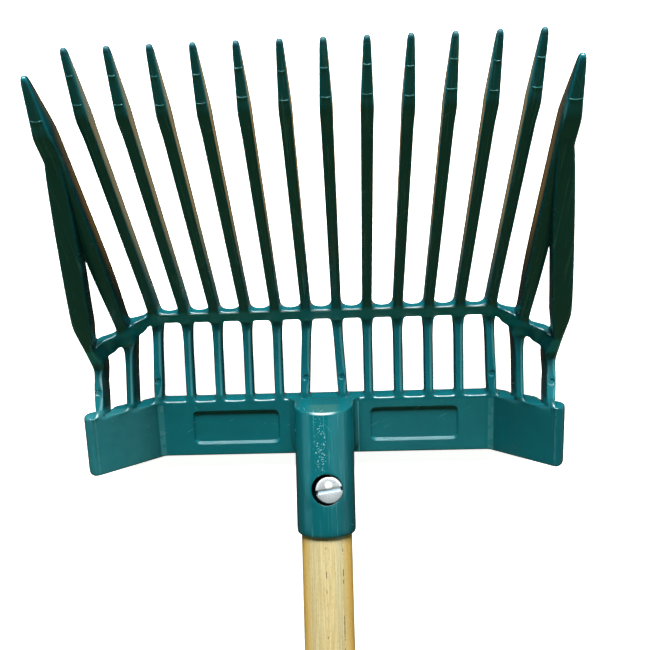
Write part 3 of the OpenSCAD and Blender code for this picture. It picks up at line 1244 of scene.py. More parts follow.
@dataclass
class Head:
    """The moulded head: plate, wings, bars, crossbar, braces and tines in one rounded skin."""

    sizes: ForkSizes
    fillet: float = 3.2
    root_fillet: float = 2.3
    wing_foot_rise: float = 1.5
    bend_run: float = 3.0
    edge: float = 0.55
    bar_edge: float = 1.15
    plate_edge: float = 0.6
    nose_edge: float = 2.4
    crown: float = 0.12
    corner_flare: float = 2.4
    top_slope: float = 1.8
    strip_top_drop: float = 0.7
    top_fall: float = 1.5
    wing_top_fall: float = 1.6
    right_end_in: float = 1.4
    strip_drop: float = 0.9
    wing_strip_drop: float = 0.13
    wing_strip_rise: float = 1.1
    back_pull: float = 2.4
    brace_half: float = 5.15
    end_out: float = 2.7
    end_foot_in: float = 0.7
    wing_tine_out: float = 0.9
    wing_lean: tuple[float, float] = (0.6, -1.1)
    kink_out: float = 1.0
    brace_end_out: float = 0.3
    nose_in: float = 0.9
    marked: tuple[int, ...] = (1, 3, 8, 9, 14, 16)
    mark_share: float = 0.27
    end_mark_share: float = 0.5
    mark_r: float = 1.8
    mark_depth: float = 0.7
    mark_rows: tuple[float, ...] = (-1.3, -0.4, 0.4, 1.3)
    bottom_out: float = 0.8
    bottom_run: float = 2.2
    top_runs: tuple[float, float] = (4.6, 1.7)
    panel_lip: Profile = ((0.9, 0.0), (0.4, 0.0), (0.2, 0.15))
    panel_floor: Profile = ((-0.5, -0.2), (-0.75, 0.0), (-1.4, 0.0))
    fold_foot_shift: float = 1.2
    fold_half: float = 1.3
    fold_bead: float = 0.5
    foot_edge: float = 1.1
    bead: float = 0.5
    wing_tip_len: float = 24.8
    wing_swell: float = 1.35
    join_gap: float = 0.08
    levels: int = 2
    columns: list[tuple[int, float, bool]] = field(default_factory=list)

    def lay_columns(self) -> None:
        """List the cage's columns: a member, a distance from its middle and whether it is in a window."""
        for i in range(1, self.sizes.bars + 1):
            half = self.half_width(i)
            if i > 1:
                self.columns.append((i, -half - self.fillet, True))
            self.columns += [(i, -half, False), (i, 0.0, False), (i, half, False)]
            if i < self.sizes.bars:
                self.columns.append((i, half + self.fillet, True))

    def half_width(self, i: int) -> float:
        """Give half the width of a bar."""
        return (self.sizes.end_bar_w if i in (1, self.sizes.bars) else self.sizes.bar_w) / 2

    def foot_x(self, i: int) -> float:
        """Give where a bar's foot stands across the plate.

        Args:
            i: The bar.

        Returns:
            The distance from the middle.
        """
        s = self.sizes
        x = s.bar_x(i)
        if abs(i - (s.bars + 1) / 2) < 1:
            return math.copysign(s.splay, x)
        if i in (1, s.bars):
            return x - math.copysign(self.end_foot_in, x)
        return x + math.copysign(self.fold_foot_shift, x) if self.at_fold(i) else x

    def at_fold(self, i: int) -> bool:
        """Tell whether a bar stands at the fold of a wing."""
        return i in (self.sizes.wing_bars + 1, self.sizes.bars - self.sizes.wing_bars)

    def plate_x(self, i: int, offset: float) -> float:
        """Give where a bar's column runs down the plate, drawn together at a fold to keep the fold crisp.

        Args:
            i: The bar.
            offset: The column's distance from the bar's middle.

        Returns:
            The distance from the plate's middle.
        """
        if self.at_fold(i) and abs(offset) <= self.half_width(i):
            x = self.sizes.bar_x(i)
            return x + offset / self.half_width(i) * self.fold_half
        return self.foot_x(i) + offset

    def mark_of(self, i: int) -> float:
        """Give how far up a bar its ejector mark lies."""
        return self.end_mark_share if i in (1, self.sizes.bars) else self.mark_share

    def comb_x(self, i: int) -> float:
        """Give where a bar's member stands across the comb, with the end ones a little further out."""
        outward = (0.0, self.wing_tine_out, self.end_out)[abs(self.sizes.step(i))]
        return self.sizes.bar_x(i) + math.copysign(outward, self.sizes.bar_x(i))

    def flare(self, i: int, offset: float) -> float:
        """Give how far a bar's side spreads into the corner of a window under the crossbar."""
        side = (offset > 0) - (offset < 0)
        return 0.0 if (i, side) in ((1, -1), (self.sizes.bars, 1)) else side * self.corner_flare

    def bar_depth(self, i: int) -> float:
        """Give how deep a bar is."""
        return self.sizes.wing_bar_d if self.sizes.step(i) else self.sizes.bar_d

    def plate_knot(self, x: float, along: float) -> Knot:
        """Make a crossing on the plate or its wings.

        Args:
            x: The place across the plate, which is kept within the wings.
            along: The height up the plate.

        Returns:
            The crossing.
        """
        s = self.sizes
        limit = s.fold_x + s.wing_w * math.cos(math.radians(s.fold))
        x = max(-limit, min(limit, x))
        up, normal = s.slope(s.plate_tilt)
        return Knot(s.on_plate(x, along, s.strip_out(x)), up, normal, s.strip_depth(x, s.plate_t),
                    edge=self.plate_edge)

    def nose_knot(self, side: int, along: float) -> Knot:
        """Make a crossing on the round end of a wing.

        Args:
            side: Minus one for the left wing, one for the right.
            along: The height up the plate.

        Returns:
            The crossing.
        """
        s = self.sizes
        a = math.radians(s.fold)
        up, normal = s.slope(s.plate_tilt)
        across = X * math.cos(a) + normal * (side * math.sin(a))
        outward = normal * math.cos(a) - X * (side * math.sin(a))
        reach = s.wing_w + s.plate_t / 2 - self.nose_in - (self.right_end_in if side > 0 else 0.0)
        point = s.on_plate(side * s.fold_x, along, 0) + across * (side * reach)
        return Knot(point, up, outward, s.plate_t, across, self.nose_edge, edge_along=self.plate_edge)

    def bar_ends(self, i: int) -> tuple[Vector, Vector]:
        """Give the ends of a bar, on the middle of its front.

        Args:
            i: The bar.

        Returns:
            The foot and the top.
        """
        s = self.sizes
        foot = s.on_plate(self.foot_x(i), 0, s.strip_out(self.foot_x(i)))
        top = s.on_comb(self.comb_x(i), -abs(s.step(i)) * s.wing_drop, s.out(i))
        return foot, top

    def bar_knot(self, i: int, offset: float, share: float) -> Knot:
        """Make a crossing part of the way up a bar.

        Args:
            i: The bar.
            offset: The distance from the bar's middle.
            share: How far up it is.

        Returns:
            The crossing.
        """
        foot, top = self.bar_ends(i)
        up = (top - foot).normalized()
        normal = X.cross(up).normalized()
        crown = self.crown if offset == 0 else 0.0
        point = foot.lerp(top, share) + X * offset
        return Knot(point, up, normal, self.bar_depth(i), edge=self.bar_edge, crown=crown)

    def comb_knot(self, i: int, offset: float, along: float, depth: float, out: float) -> Knot:
        """Make a crossing on the comb.

        Args:
            i: The bar under it.
            offset: The distance from the bar's middle.
            along: The height up the comb.
            depth: How deep the member is there.
            out: How far forward it stands.

        Returns:
            The crossing.
        """
        s = self.sizes
        up, normal = s.slope(s.tine_tilt)
        crown = self.crown if offset == 0 else 0.0
        point = s.on_comb(self.comb_x(i) + offset, along, out)
        return Knot(point, up, normal, depth, edge=self.edge, crown=crown)

    def bend_knot(self, i: int, offset: float) -> Knot:
        """Make a crossing on the bend between a bar and the comb.

        Args:
            i: The bar.
            offset: The distance from the bar's middle.

        Returns:
            The crossing.
        """
        low = self.bar_knot(i, offset, 1.0)
        high = self.comb_knot(i, offset, 0, self.sizes.tine_root_d, self.sizes.out(i))
        along, normal = (low.along + high.along).normalized(), (low.normal + high.normal).normalized()
        return Knot(low.point, along, normal, (low.depth + high.depth) / 2, edge=self.edge, crown=low.crown)

    def brace_rows(self, i: int) -> list[tuple[Vector, float, float]]:
        """Give the rows of the post and brace over an end bar, from low to high.

        Args:
            i: The end bar.

        Returns:
            The middle, half width and depth of each row.
        """
        s = self.sizes
        inner = i + 1 if i == 1 else i - 1
        side = -1 if i == 1 else 1
        kink = Vector((s.bar_x(i) + side * self.kink_out, s.post_len, s.out(i)))
        leant = s.brace_reach * math.sin(math.radians(self.wing_lean[i > 1]))
        out = self.brace_end_out
        end = Vector((s.bar_x(inner) + side * out + leant, s.brace_reach, s.out(inner) - out))
        run = (end - kink).normalized()
        half = self.brace_half
        below = kink - Y * self.fillet
        middle = kink.lerp(end, 0.5) - X * (side * out)
        return [(below, half, s.brace_d), (kink + run * self.fillet, half, s.brace_d),
                (middle, half * 1.03, s.brace_d), (end - run * 10, half * 0.8, s.brace_d * 0.9),
                (end, half * 0.56, s.brace_d * 0.7)]

    def lattice(self) -> Lattice:
        """Lay out the cage's crossings and cells.

        Returns:
            The lattice.
        """
        s = self.sizes
        self.lay_columns()
        knots: dict[Crossing, Knot] = {}
        last = len(self.columns) + 1
        for c, (i, offset, in_window) in enumerate(self.columns, start=1):
            for r, along in enumerate(self.plate_rows()):
                x = self.foot_x(i) + offset if r == Row.FOOT else self.plate_x(i, offset)
                knots[c, r] = self.plate_knot(x, along)
                if self.at_fold(i) and offset == 0 and r != Row.FOOT:
                    knots[c, r].crown = self.fold_bead
            knots[c, Row.FOOT].back_lift = self.top_slope
            knots[c, Row.FOOT].edge = self.foot_edge
            self.lay_strip(knots, c, i, offset, in_window)
            if not in_window:
                self.lay_bar(knots, c, i, offset)
        for side, nose, beside in ((-1, 0, 1), (1, last, last - 1)):
            for r, along in enumerate(self.plate_rows()):
                knots[nose, r] = self.nose_knot(side, along)
                knots[nose, r].crown = self.bead
                knots[beside, r].crown = -self.bead if 0 < r < Row.FOOT else 0.0
            knots[nose, Row.FOOT].back_lift = self.top_slope
        self.lay_braces(knots)
        cells = {(c, r) for c in range(last) for r in range(Row.BOTTOM, Row.FOOT)}
        cells |= {(c, Row.CROSS) for c in range(1, last - 1)}
        ghosts: set[Crossing] = set()
        for c, (i, offset, in_window) in enumerate(self.columns, start=1):
            if in_window or offset > 0:
                continue
            cells |= {(c, r) for r in range(Row.FOOT, Row.CROSS)} | {(c, Row.TOP)}
            if i in (1, s.bars):
                cells |= {(c, r) for r in range(Row.STUB, Row.END)}
            else:
                ghosts.add((c, Row.STUB))
        return Lattice(knots, cells, ghosts, self.panel_cells() | self.mark_cells())

    def plate_rows(self) -> list[float]:
        """Give the heights of the plate's rows."""
        bottom = -self.sizes.plate_h
        return [bottom - self.bottom_out, bottom + self.bottom_run, *(-run for run in self.top_runs), 0.0]

    def lay_strip(self, knots: dict[Crossing, Knot], c: int, i: int, offset: float, in_window: bool) -> None:
        """Add a column's crossings on the crossbar, which folds with the wings.

        Args:
            knots: The crossings so far.
            c: The column.
            i: The column's bar.
            offset: Its distance from the bar's middle.
            in_window: Whether it lies in a window.
        """
        s = self.sizes
        x = s.bar_x(i) + offset
        side = (offset > 0) - (offset < 0)
        at_end = i in (1, s.bars)
        for r, along in ((Row.CROSS, s.cross_foot), (Row.TOP, s.root_y)):
            if r == Row.CROSS:
                along -= self.strip_drop + max(0.0, abs(x) - s.fold_x) * self.wing_strip_drop
            depth = s.strip_depth(x, s.cross_d) if in_window else s.tine_root_d
            out = s.out(i) if at_end and not in_window else s.strip_out(x)
            flare = self.flare(i, offset) if r == Row.CROSS and not in_window else 0.0
            knots[c, r] = self.comb_knot(i, offset + flare, along, depth, out)
            knots[c, r].crown = 0.0
            if in_window:
                knots[c, r].back_shift = -side * self.back_pull
            if in_window and r == Row.TOP:
                rise = self.wing_strip_rise if abs(x) > s.fold_x + 1 else -self.strip_top_drop
                knots[c, r].point += knots[c, r].along * rise
                knots[c, r].back_lift = -self.wing_top_fall if abs(x) > s.fold_x else -self.top_fall

    def lay_bar(self, knots: dict[Crossing, Knot], c: int, i: int, offset: float) -> None:
        """Add a column's crossings on a bar, with its ejector mark if it has one, and on the stub above.

        Args:
            knots: The crossings so far.
            c: The column.
            i: The bar.
            offset: The column's distance from the bar's middle.
        """
        s = self.sizes
        foot, bend = self.bar_ends(i)
        length = (bend - foot).length
        rise = self.wing_foot_rise if s.step(i) else self.fillet
        knots[c, Row.FOOT + 1] = self.bar_knot(i, offset, rise / length)
        for n, shift in enumerate(self.mark_rows):
            share = self.mark_of(i) + shift * 2 * self.mark_r / length
            knots[c, Row.MARK + n] = self.bar_knot(i, offset, share)
            if i in self.marked:
                knots[c, Row.MARK + n].edge = self.edge
        knots[c, Row.UPPER] = self.bar_knot(i, offset, 1 - self.bend_run / length)
        knots[c, Row.BEND] = self.bend_knot(i, offset + self.flare(i, offset) / 2)
        stub = s.root_y + self.root_fillet
        knots[c, Row.STUB] = self.comb_knot(i, offset, stub, s.tine_root_d, s.out(i))

    def lay_braces(self, knots: dict[Crossing, Knot]) -> None:
        """Add the crossings of the posts and braces, which lean in from the crossbar's ends.

        Args:
            knots: The crossings so far.
        """
        s = self.sizes
        up, normal = s.slope(s.tine_tilt)
        for c, (i, offset, in_window) in enumerate(self.columns, start=1):
            if i not in (1, s.bars) or in_window:
                continue
            rows = self.brace_rows(i)
            share = offset / self.half_width(i)
            for n, (middle, half, depth) in enumerate(rows):
                behind, ahead = rows[max(0, n - 1)][0], rows[min(len(rows) - 1, n + 1)][0]
                run = (ahead - behind).normalized()
                along = X * run.x + up * run.y + normal * run.z
                outward = X.cross(along).normalized()
                point = s.on_comb(middle.x + share * half, middle.y, middle.z)
                knots[c, Row.BRACE + n] = Knot(point, along, outward, depth, edge=self.edge * 1.3,
                                               crown=2 * self.crown if offset == 0 else 0.0)

    def panel_span(self, side: int) -> tuple[int, int]:
        """Give the columns of the cells that a recessed panel is cut from.

        Args:
            side: Minus one for the left panel, one for the right.

        Returns:
            The first and last column.
        """
        s = self.sizes
        inner, outer = (s.bars // 2 + 2, s.bars // 2 + 5)
        low, high = (inner, outer) if side > 0 else (s.bars + 1 - outer, s.bars + 1 - inner)
        picked = [c for c, (i, _, in_window) in enumerate(self.columns, start=1)
                  if low <= i <= high and not in_window]
        return picked[0], picked[-1]

    def panel_cells(self) -> set[Crossing]:
        """List the plate's cells whose fronts are left off for the recessed panels."""
        return {(c, 1) for side in (-1, 1) for c in range(*self.panel_span(side))}

    def mark_cells(self) -> set[Crossing]:
        """List the bars' cells whose fronts are left off for the ejector marks."""
        return {(c, Row.MARK + n) for c, (i, offset, in_window) in enumerate(self.columns, start=1)
                if i in self.marked and offset <= 0 and not in_window for n in range(3)}

    def sink_mark(self, bm: Mesh, lattice: Lattice, i: int) -> None:
        """Fill the cells left off a bar's front with the round mark of an ejector pin.

        Args:
            bm: The cage's mesh, in millimetres.
            lattice: The lattice that the cage was built from.
            i: The bar.
        """
        middle = next(c for c, column in enumerate(self.columns, start=1) if column[:2] == (i, 0.0))
        low, high = int(Row.MARK), Row.MARK + 3
        order = [(c, low) for c in (-1, 0, 1)] + [(1, r) for r in range(low + 1, high)]
        order += [(c, high) for c in (1, 0, -1)] + [(-1, r) for r in range(high - 1, low, -1)]
        loop = [lattice.corner(bm, middle + c, r, Layer.FRONT) for c, r in order]
        centre = self.bar_knot(i, 0, self.mark_of(i))
        profile = [(self.mark_r + 0.25, -self.crown / 2), (self.mark_r, 0.05),
                   (self.mark_r - 0.1, self.mark_depth), (self.mark_r - 0.5, self.mark_depth)]
        for radius, sink in profile:
            ring = []
            for k in range(len(order)):
                a = math.radians(234 + 36 * k)
                flat = X * (radius * math.cos(a)) + centre.along * (radius * math.sin(a))
                ring.append(bm.verts.new(centre.point + flat - centre.normal * sink))
            join_loops(bm, loop, ring)
            loop = ring
        bm.faces.new(loop)

    def panel_loop(self, side: int, grow: float, out: float) -> list[Vector]:
        """Give a round-cornered outline of a panel.

        Args:
            side: Minus one for the left panel, one for the right.
            grow: How far the outline lies outside the panel's own edge.
            out: How far it lies out of the plate's front.

        Returns:
            The outline's points, counter-clockwise from the front.
        """
        s = self.sizes
        half_w, half_h, radius = s.panel_w / 2 + grow, s.panel_h / 2 + grow, s.panel_r + grow
        points = []
        for n, (sx, sy) in enumerate(((-1, -1), (1, -1), (1, 1), (-1, 1))):
            for k in range(5):
                a = math.radians(180 + 90 * n + 22.5 * k)
                x = sx * (half_w - radius) + radius * math.cos(a)
                y = sy * (half_h - radius) + radius * math.sin(a)
                points.append(s.on_plate(side * s.panel_x + x, y - s.plate_h / 2, out))
            if n % 2 == 0:
                for k in range(1, 6):
                    x = sx * (half_w - radius) * (1 - k / 3)
                    points.append(s.on_plate(side * s.panel_x + x, sy * half_h - s.plate_h / 2, out))
        return points

    def cut_panel(self, bm: Mesh, lattice: Lattice, side: int) -> None:
        """Fill the cells left off the plate's front with a recessed panel.

        Args:
            bm: The cage's mesh, in millimetres.
            lattice: The lattice that the cage was built from.
            side: Minus one for the left panel, one for the right.
        """
        first, last = self.panel_span(side)
        ring = [lattice.corner(bm, c, 1, Layer.FRONT) for c in range(first, last + 1)]
        ring += [lattice.corner(bm, c, 2, Layer.FRONT) for c in range(last, first - 1, -1)]
        floor = [(grow, sunk + self.sizes.panel_depth) for grow, sunk in self.panel_floor]
        loops = [[bm.verts.new(p) for p in self.panel_loop(side, grow, -sunk)]
                 for grow, sunk in (*self.panel_lip, *floor)]
        join_loops(bm, *loops)
        bm.faces.new(loops[-1])
        edges = [bm.edges.get((ring[n], ring[n - 1])) for n in range(len(ring))]
        edges += [bm.edges.get((loops[0][n], loops[0][n - 1])) for n in range(len(loops[0]))]
        bmesh.ops.bridge_loops(bm, edges=edges)

    def tine(self, on_wing: bool) -> Tine:
        """Give a tine of the comb's middle or of a wing."""
        tip_len, swell = (self.wing_tip_len, self.wing_swell) if on_wing else (self.sizes.tip_len, 0.0)
        return Tine(self.sizes, tip_len, swell, self.sizes.root_y + self.root_fillet, self.edge, self.crown)

    def comb_tree(self, tine: Piece, wing_tine: Piece, material: Material) -> Tree:
        """Build the node tree that stands the tines on the crossbar and joins them to it.

        Args:
            tine: The object that holds one tine's cage.
            wing_tine: The object that holds the cage of the tine on each wing.
            material: The head's finish.

        Returns:
            The geometry tree, with named inputs for the row of tines.
        """
        kinds = {"Middle tines": "Int", "Join distance": "Float"}
        sides = [f"{side} wing {what}" for side in ("Left", "Right") for what in ("root", "lean")]
        kinds |= dict.fromkeys(("First root", "Step", *sides), "Vector")
        tree, given = new_tree("tine_comb", kinds)
        middle = add_node(tree, "GeometryNodeMeshLine", {"Count": given["Middle tines"],
                                                         "Start Location": given["First root"],
                                                         "Offset": given["Step"]})
        stands = [(middle, tine, (0.0, 0.0, 0.0))]
        for side in ("Left", "Right"):
            root = given[f"{side} wing root"]
            one = add_node(tree, "GeometryNodeMeshLine", {"Count": 1, "Start Location": root})
            stands.append((one, wing_tine, given[f"{side} wing lean"]))
        whole = add_node(tree, "GeometryNodeJoinGeometry")
        tree.links.new(given["Geometry"], whole.inputs["Geometry"])
        for points, cage, lean in stands:
            tree.links.new(stand_copies(tree, points.outputs["Mesh"], cage, lean), whole.inputs["Geometry"])
        merged = add_node(tree, "GeometryNodeMergeByDistance", {"Geometry": whole.outputs["Geometry"],
                                                                "Distance": given["Join distance"]})
        coat = add_node(tree, "GeometryNodeSetMaterial", {"Geometry": merged.outputs["Geometry"],
                                                          "Material": material})
        add_node(tree, "NodeGroupOutput", {"Geometry": coat.outputs["Geometry"]})
        return tree

    def lean(self, side: int) -> Vector:
        """Give the turn, as Euler angles, that leans a wing's tine in towards the middle."""
        _, normal = self.sizes.slope(self.sizes.tine_tilt)
        return Vector(Matrix.Rotation(-math.radians(self.wing_lean[side]), 3, normal).to_euler())

    def root_of(self, i: int) -> Vector:
        """Give where the root of the tine over a bar stands, in the row frame."""
        s = self.sizes
        return s.place(s.on_comb(self.comb_x(i), s.root_y + self.root_fillet, s.out(i)))

    def build(self, material: Material) -> Piece:
        """Build the whole head as one rounded mesh.

        Args:
            material: The head's finish.

        Returns:
            The head's object.
        """
        s = self.sizes
        bm = bmesh.new()
        lattice = self.lattice()
        lattice.build(bm)
        for side in (-1, 1):
            self.cut_panel(bm, lattice, side)
        for i in self.marked:
            self.sink_mark(bm, lattice, i)
        head = placed_object("moulded_head", bm, closed=False)
        tine = self.tine(False).build("tine_cage")
        wing_tine = self.tine(True).build("wing_tine_cage")
        tree = self.comb_tree(tine, wing_tine, material)
        first = self.root_of(s.wing_bars + 1)
        values = {
            "Middle tines": s.bars - 2 * s.wing_bars,
            "First root": first,
            "Step": self.root_of(s.wing_bars + 2) - first,
            "Left wing root": self.root_of(s.wing_bars),
            "Right wing root": self.root_of(s.bars - s.wing_bars + 1),
            "Left wing lean": self.lean(0),
            "Right wing lean": self.lean(1),
            "Join distance": self.join_gap * MM,
        }
        run_tree(head, tree, values, tine, wing_tine)
        subdivide(head, self.levels)
        head.data.shade_smooth()
        return head

    def names(self) -> list[str]:
        """List the solids that the head stands for.

        Returns:
            The names of their nodes.
        """
        parts = ("wing", "crossbar", "post", "brace")
        sides = [f"{side}_{part}" for side in ("left", "right") for part in parts]
        bars = [f"short_bar_{i:02d}" for i in range(1, self.sizes.bars + 1)]
        tines = [f"tine_{i:02d}" for i in range(1, self.sizes.bars - 1)]
        return ["back_plate", "crossbar", *sides, *bars, *tines]

    def dress(self, material: Material) -> None:
        """Build the head and give it its finish."""
        give_finish(self.build(material), material, Slot.HEAD, *self.names())


@dataclass
class WitnessLines:
    """The thin raised lines that the mould's inserts left across the front of each tip."""

    sizes: ForkSizes
    shares: tuple[float, ...] = (0.2, 0.62)
    wing_shares: tuple[float, ...] = (0.3,)
    radius: float = 0.36
    sag: float = 0.45
    end_in: float = 0.35
    wander: float = 1.1
    seed: int = 7
    points: int = 9
    sides: int = 6

    def cage(self, name: str, tine: Tine, shares: tuple[float, ...]) -> Piece:
        """Make one tine's lines, placed from the bend at the tine's foot.

        Args:
            name: The cage's name.
            tine: The tine.
            shares: How far up the tip each line lies.

        Returns:
            The object that holds the lines.
        """
        s = self.sizes
        up, normal = s.slope(s.tine_tilt)
        along, out = s.tip_slope
        shoulder = up * s.tine_len + normal * s.shoulder_rise
        bm = bmesh.new()
        for share in shares:
            half = tine.tip(share)[1] - self.end_in
            loops = []
            for n in range(self.points):
                t = 2 * n / (self.points - 1) - 1
                ends = 1 - t ** 6 * 0.85
                run = share * tine.tip_len + self.sag * (t * t - 0.5)
                middle = shoulder + along * run + X * (half * t)
                middle -= out * (0.1 + 0.25 * t ** 4)
                ring = []
                for k in range(self.sides):
                    b = math.tau * k / self.sides
                    ring.append(bm.verts.new((middle + (along * math.cos(b) + out * math.sin(b))
                                              * self.radius * ends) * MM))
                loops.append(ring)
            join_loops(bm, *loops)
            bm.faces.new(list(reversed(loops[0])))
            bm.faces.new(loops[-1])
        bmesh.ops.recalc_face_normals(bm, faces=bm.faces)
        return mesh_object(name, bm)

    def tree(self, line: Piece, wing_line: Piece, material: Material) -> Tree:
        """Build the node tree that lays the lines on the tips, each moved a little along its own.

        Args:
            line: The lines of a middle tine.
            wing_line: The line of a wing's tine.
            material: The head's finish.

        Returns:
            The geometry tree.
        """
        kinds = {"Middle tines": "Int", "Seed": "Int"}
        vectors = ("First foot", "Step", "Left wing foot", "Right wing foot", "Wander")
        kinds |= dict.fromkeys(vectors, "Vector")
        tree, given = new_tree("witness_lines", kinds)
        middle = add_node(tree, "GeometryNodeMeshLine", {"Count": given["Middle tines"],
                                                         "Start Location": given["First foot"],
                                                         "Offset": given["Step"]})
        wings = add_node(tree, "GeometryNodeJoinGeometry")
        for name in ("Left wing foot", "Right wing foot"):
            one = add_node(tree, "GeometryNodeMeshLine", {"Count": 1, "Start Location": given[name]})
            tree.links.new(one.outputs["Mesh"], wings.inputs["Geometry"])
        whole = add_node(tree, "GeometryNodeJoinGeometry")
        share = add_node(tree, "FunctionNodeRandomValue", {"Seed": given["Seed"]}, data_type="FLOAT")
        signed = Measure(share.outputs[1]).band(0, 1, -1, 1, Ramp.STRAIGHT)
        values = {0: given["Wander"], "Scale": signed}
        shift = add_node(tree, "ShaderNodeVectorMath", values, operation="SCALE")
        for points, cage in ((middle.outputs["Mesh"], line), (wings.outputs["Geometry"], wing_line)):
            values = {"Geometry": points, "Offset": shift.outputs["Vector"]}
            moved = add_node(tree, "GeometryNodeSetPosition", values).outputs["Geometry"]
            tree.links.new(stand_copies(tree, moved, cage), whole.inputs["Geometry"])
        coat = add_node(tree, "GeometryNodeSetMaterial", {"Geometry": whole.outputs["Geometry"],
                                                          "Material": material})
        add_node(tree, "NodeGroupOutput", {"Geometry": coat.outputs["Geometry"]})
        return tree

    def build(self, material: Material) -> Piece:
        """Lay the lines on every tip.

        Args:
            material: The head's finish.

        Returns:
            The object that holds all the lines.
        """
        s = self.sizes
        head = Head(s)
        feet = {i: s.place(s.on_comb(head.comb_x(i), 0, s.out(i))) for i in range(1, s.bars + 1)}
        for side, i in enumerate((s.wing_bars, s.bars - s.wing_bars + 1)):
            feet[i].x += s.tine_len * math.sin(math.radians(head.wing_lean[side])) * MM
        lines = mesh_object("witness_lines", bmesh.new())
        line = self.cage("line_cage", head.tine(False), self.shares)
        wing_line = self.cage("wing_line_cage", head.tine(True), self.wing_shares)
        tree = self.tree(line, wing_line, material)
        values = {
            "Middle tines": s.bars - 2 * s.wing_bars,
            "First foot": feet[s.wing_bars + 1],
            "Step": feet[s.wing_bars + 2] - feet[s.wing_bars + 1],
            "Left wing foot": feet[s.wing_bars],
            "Right wing foot": feet[s.bars - s.wing_bars + 1],
            "Wander": s.tip_slope[0] * self.wander * MM,
            "Seed": self.seed,
        }
        run_tree(lines, tree, values, line, wing_line)
        lines.data.shade_smooth()
        return lines

    def dress(self, material: Material) -> None:
        """Build the lines and give them their finish."""
        give_finish(self.build(material), material, Slot.HEAD)


